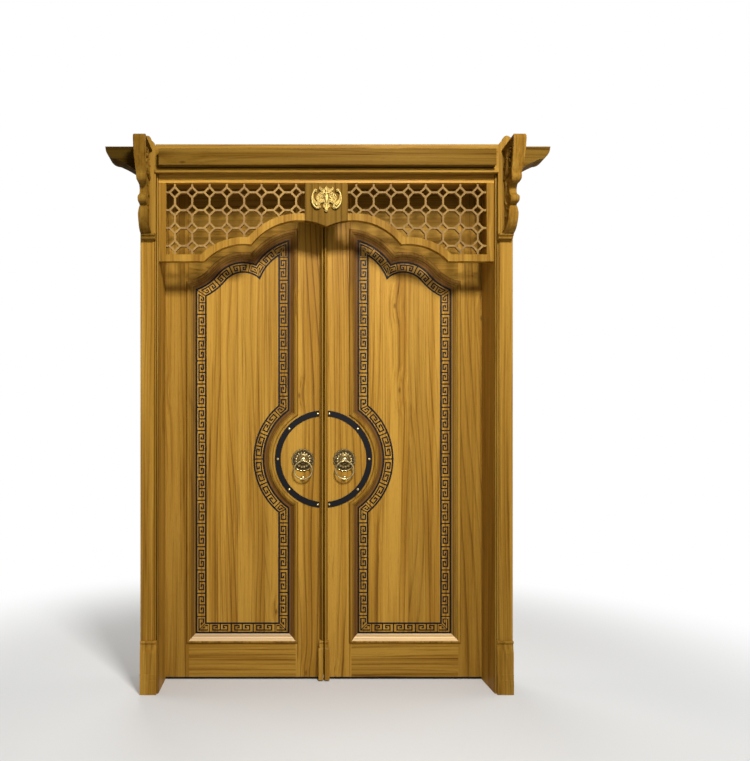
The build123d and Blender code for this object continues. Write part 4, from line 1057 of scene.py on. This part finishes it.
class DOORS_OT_knocker_plates(bpy.types.Operator):
    """Model the scalloped knocker plates with their domes, steps, petals and eyes"""

    bl_idname = "doors.knocker_plates"
    bl_label = "Knocker plates"

    def execute(self, context):
        across = sum(corner.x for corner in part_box("right_knocker_plate")) / 2
        ring_depth = sum(corner.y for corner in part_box("right_knocker_ring")) / 2
        eye = (across, ring_depth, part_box("right_knocker_ring")[1].z - RING_WIRE)
        parts = [self.plate(across, PLATE_MIDDLE), self.lug(eye)]
        make_pair("plate_relief", parts, "knocker_plate", "{}_leaf", crease=45.0, replace=True)
        return {"FINISHED"}

    def plate(self, across, height):
        """The plate: heights by radius, with petals, a beaded ground round them and a scalloped rim.

        A petal is the absolute sine of half the petal count times the turn. The ground has as many beads, by
        the absolute cosine, and the rim swells on the lobes with the sixth power of the radius.
        """
        radius, proud = np.array(PLATE_HEIGHTS, float).T * MM
        turn = full_turn(PLATE_COLUMNS)
        lobe = abs(np.sin(turn * PETALS / 2))[None, :]
        fine = np.linspace(PLATE_START, radius[-1], PLATE_ROWS)[:, None]
        proud = np.interp(fine, radius, proud) * np.ones_like(lobe)
        petals, beads = ((fine > low * MM) & (fine < high * MM) for low, high in (PETAL_REACH, BEAD_REACH))
        proud -= petals * (1 - lobe) * PETAL_DEPTH
        proud += beads * BEAD_HEIGHT * abs(np.cos(turn * PETALS))
        reach = fine * (1 + SCALLOP * (lobe - SCALLOP_MIDDLE) * (fine / radius[-1]) ** 6)
        across_rings, up_rings = across + reach * np.cos(turn), height + reach * np.sin(turn)
        first = (across, LEAF_FACE - PLATE_HEIGHTS[0][1] * MM, height)
        rings = np.stack((across_rings, LEAF_FACE - proud, up_rings), -1)
        return closed_rings(rings, first, (across, LEAF_FACE, height))

    def lug(self, eye):
        """The eye: a ring about X that the knocker ring hangs in, as a rounded section swept round it."""
        out, along = np.array(EYE_SECTION).T[:, None, :] * MM
        turn = full_turn(EYE_COLUMNS)[:, None]
        reach = (along + 0 * turn, -out * np.cos(turn), out * np.sin(turn))
        points = (np.stack(reach, -1) + eye).reshape(-1, 3)
        return points, [grid_quads(len(turn) + 1, len(EYE_SECTION), wrap=True) % len(points)]


class DOORS_OT_bracket_carving(bpy.types.Operator):
    """Fill the pierced brackets with carved vines and lay vines and volutes on their sides"""

    bl_idname = "doors.bracket_carving"
    bl_label = "Bracket carving"

    def execute(self, context):
        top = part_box("right_bracket")[1]
        head, middle = top.z - BRACKET_RISE, top.x - WEB_MIDDLE
        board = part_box("right_bracket_board")[1].y
        faces = [middle - WEB_HALF, middle + WEB_HALF]
        parts = [self.stem(board, head, face, rows, 0.8) for rows in WEB_VINES for face in faces]
        for rows in BRACKET_VINES:
            beside = VINE_SPREAD["upper" if rows[0][1] > UPPER_HOLES else "lower"]
            parts += [self.stem(board, head, middle + side * beside, rows, 1.6) for side in (-1, 0, 1)]
        parts += [self.volute(board, head, face, *row) for row in VOLUTES for face in faces]
        make_pair("bracket_carving", parts, "bracket", "frame", crease=60.0)
        return {"FINISHED"}

    def stem(self, board, head, middle, rows, flat):
        """One carved stem, deep in a hole or shallow on the web."""
        rows = curve(rows, 5) * MM
        path = np.column_stack((np.full(len(rows), middle), board - rows[:, 0], head + rows[:, 1]))
        return vine(path, rows[:, 2], flat, normal=(1.0, 0.0, 0.0), sides=10)

    def volute(self, board, head, across, middle, reach):
        """Spiral on a side of the web, whose radius shrinks to a fifth in one and a half turns."""
        turn = np.linspace(0, 3 * np.pi, 40)
        size = reach * VOLUTE_SHRINK ** (-turn / turn[-1])
        out = (middle[0] + size * np.cos(turn)) * MM
        up = (middle[1] + size * np.sin(turn)) * MM
        path = np.column_stack((np.full(len(turn), across), board - out, head + up))
        radius = (VOLUTE_TAPER * size + VOLUTE_END) * MM
        return vine(path, radius, normal=(1.0, 0.0, 0.0), sides=8)


class DOORS_OT_seals_and_screws(bpy.types.Operator):
    """Fit the meeting and bottom seals, and the screws of the bar keepers"""

    bl_idname = "doors.seals_and_screws"
    bl_label = "Seals and screws"

    def execute(self, context):
        sizes, metals = context.scene.doors_fittings, context.scene.doors_metal
        black_seal_and_shadow = metal("seal_rubber", metals.iron, metals.iron, 0.7, metallic=0.0)
        brush = metal("seal_brush", metals.brush, metals.tarnish, 0.8, metallic=0.0)
        brass = metal("screw_brass", metals.screw, metals.tarnish, 0.35, 0.4)
        front, far = LEAF_FACE + FROM_FACE, LEAF_BACK - FROM_BACK
        for side in ("left", "right"):
            stile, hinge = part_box(f"{side}_meeting_stile"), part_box(f"{side}_hinge_stile")
            edge = min(abs(corner.x) for corner in stile)
            outer = max(abs(corner.x) for corner in hinge)
            # The bottom seal near the face: a seal and a painted shadow under the leaf
            foot = slab((edge + FROM_END, front, FROM_FLOOR),
                        (outer - FROM_HINGE, front + sizes.seal_depth, hinge[0].z + FOOT_IN))
            lip = slab((edge - LIP_REACH[side], far - sizes.seal_depth, stile[0].z + FROM_END),
                       (edge + LIP_IN, far, stile[1].z - FROM_END))
            for name, part, finish, slot in (
                ("bottom_seal", foot, black_seal_and_shadow, "black_inlay"), ("meeting_seal", lip, brush, "oak"),
            ):
                made = mirrored([part]) if side == "left" else [part]
                make_piece(f"{side}_{name}", made, finish, f"{side}_leaf")
        for side in ("left", "right"):
            screws = [self.screw(spot, sizes.screw_radius) for spot in self.keeper_feet(side)]
            make_piece(f"{side}_keeper_screws", screws, brass, f"{side}_leaf", crease=40.0)
        return {"FINISHED"}

    def screw(self, spot, radius):
        """Domed screw head that sits in the wood, half as high as its radius."""
        profile = np.array(SCREW_PROFILE) * radius
        return lathed(profile, np.array(spot), (0.0, 1.0, 0.0), (1.0, 0.0, 0.0), columns=16)

    def keeper_feet(self, side):
        """Places of the screws on the feet of a leaf's keepers, of which the right leaf has two."""
        low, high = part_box("left_bar_keeper" if side == "left" else "right_bar_keepers")
        across = {round(low.x + KEEPER_MIDDLE, 4), round(high.x - KEEPER_MIDDLE, 4)}
        heights = (low.z + KEEPER_FOOT, high.z - KEEPER_FOOT)
        return [(x, low.y + KEEPER_FOOT, z) for x in sorted(across) for z in heights]


# The stage: place, target and size of each light, the camera's shift, the floor and the soft light round it
LIGHTS = [
    ("front", (1.6, -6.5, 3.2), (0, 0, 1.9), (5.0, 4.0)),
    ("high", (0.9, -3.8, 5.3), (0, 0.1, 2.5), (1.0, 0.8)),
    ("side", (-6.5, 1.2, 3.0), (-1, 0.2, 1.9), (3.0, 3.0)),
    ("side", (6.5, 1.2, 3.0), (1, 0.2, 1.9), (3.0, 3.0)),
    ("back", (-1.5, 6.5, 4.0), (0, 0, 1.9), (5.0, 4.0)),
]
CAMERA_SHIFT = (0.129, 0.094)
FLOOR_COLOUR = (0.72, 0.72, 0.71, 1.0)
FLOOR_RINGS, FLOOR_COLUMNS = (0.5, 2.0, 8.0, 30.0), 128
FLOOR_FADE = (2.2, 4.6)
SOFT_STRENGTH = 0.20
WHITE = (1.0, 1.0, 1.0, 1.0)


class DOORS_OT_stage(bpy.types.Operator):
    """Floor, soft light and the camera of the front view"""

    bl_idname = "doors.stage"
    bl_label = "Stage and camera"

    def execute(self, context):
        sizes = context.scene.doors_stage
        context.scene.view_settings.view_transform = "Standard"
        self.floor()
        self.world(context.scene)
        for name, place, target, size in LIGHTS:
            self.light(f"{name}_light", place, target, size, getattr(sizes, f"{name}_power"))
        data = bpy.data.cameras.new("front_camera")
        data.lens, data.sensor_width, data.clip_end = sizes.lens, 36.0, 200.0
        data.shift_x, data.shift_y = CAMERA_SHIFT
        camera = new_object("front_camera", data)
        camera.location = sizes.eye
        camera.rotation_euler = (math.pi / 2, 0.0, 0.0)
        context.scene.camera = camera
        return {"FINISHED"}

    def light(self, name, place, target, size, power):
        """Rectangular light aimed at a point."""
        data = bpy.data.lights.new(name, "AREA")
        data.shape, data.size, data.size_y, data.energy = "RECTANGLE", *size, power
        light = new_object(name, data)
        light.location = place
        light.rotation_euler = (Vector(target) - light.location).to_track_quat("-Z", "Y").to_euler()

    def floor(self):
        """Pale round floor under the doors."""
        turn = full_turn(FLOOR_COLUMNS)
        radius = np.array(FLOOR_RINGS)[:, None]
        points = np.stack((radius * np.cos(turn), radius * np.sin(turn), 0 * radius * turn), -1)
        mesh = bpy.data.meshes.new("floor")
        faces = [*grid_quads(len(FLOOR_RINGS), len(turn), wrap=True).tolist(), list(range(len(turn)))]
        mesh.from_pydata(points.reshape(-1, 3).tolist(), [], faces)
        mesh.materials.append(self.floor_finish())
        new_object("floor", mesh)

    def floor_finish(self):
        """Pale matt floor that turns to plain white for the camera far from the doors."""
        material, tree, shader = new_material("pale_floor")
        give(shader, Base_Color=FLOOR_COLOUR, Roughness=1.0, Specular_IOR_Level=0.0)
        place = Value(add(tree, "TexCoord"), "Object")
        far = Value(add(tree, "VectorMath", {"operation": "LENGTH"}, i0=place), "Value")
        share = self.seen(tree) * spread(far, *FLOOR_FADE, smooth=True)
        white = add(tree, "Emission", Color=WHITE, Strength=1.0)
        mixed = add(tree, "MixShader", i0=share, i1=Value(shader), i2=Value(white))
        give(tree.get_output_node("ALL"), Surface=Value(mixed))
        return material

    def world(self, scene):
        """Soft grey light all round, with white where the camera or a gloss sees it."""
        scene.world = bpy.data.worlds.new("studio")
        scene.world.use_nodes = True
        tree = scene.world.node_tree
        tree.nodes.clear()
        soft = add(tree, "Background", Color=WHITE, Strength=SOFT_STRENGTH)
        white = add(tree, "Background", Color=WHITE, Strength=1.0)
        mixed = add(tree, "MixShader", i0=self.seen(tree), i1=Value(soft), i2=Value(white))
        add(tree, "OutputWorld", Surface=Value(mixed))

    def seen(self, tree):
        """Mask of the rays that see the background: from the camera, off a gloss or through a glass."""
        path = add(tree, "LightPath")
        rays = (Value(path, f"Is {kind} Ray") for kind in ("Camera", "Glossy", "Transmission"))
        return functools.reduce(larger, rays)


class DOORS_PT_panel(bpy.types.Panel):
    """Lists the steps that make the doors"""

    bl_idname = "DOORS_PT_panel"
    bl_label = "Carved double doors"
    bl_space_type = "VIEW_3D"
    bl_region_type = "UI"
    bl_category = "Doors"

    def draw(self, context):
        for made in OPERATORS:
            self.layout.operator(made.bl_idname)


GROUPS = {
    "doors_oak": OakLook,
    "doors_metal": MetalColours,
    "doors_fittings": FittingSizes,
    "doors_stage": StageSizes,
}
OPERATORS = (
    DOORS_OT_finishes,
    DOORS_OT_key_bands,
    DOORS_OT_bat_relief,
    DOORS_OT_knocker_plates,
    DOORS_OT_bracket_carving,
    DOORS_OT_seals_and_screws,
    DOORS_OT_stage,
)


def register():
    for group in GROUPS.values():
        bpy.utils.register_class(group)
    for made in (*OPERATORS, DOORS_PT_panel):
        bpy.utils.register_class(made)
    for name, group in GROUPS.items():
        setattr(bpy.types.Scene, name, bpy.props.PointerProperty(type=group))


def unregister():
    for name in GROUPS:
        delattr(bpy.types.Scene, name)
    for made in (*reversed(OPERATORS), DOORS_PT_panel, *GROUPS.values()):
        bpy.utils.unregister_class(made)


def main():
    register()
    for made in OPERATORS:
        step = made.bl_idname.split(".")[1]
        getattr(bpy.ops.doors, step)()


if __name__ == "__main__":
    main()
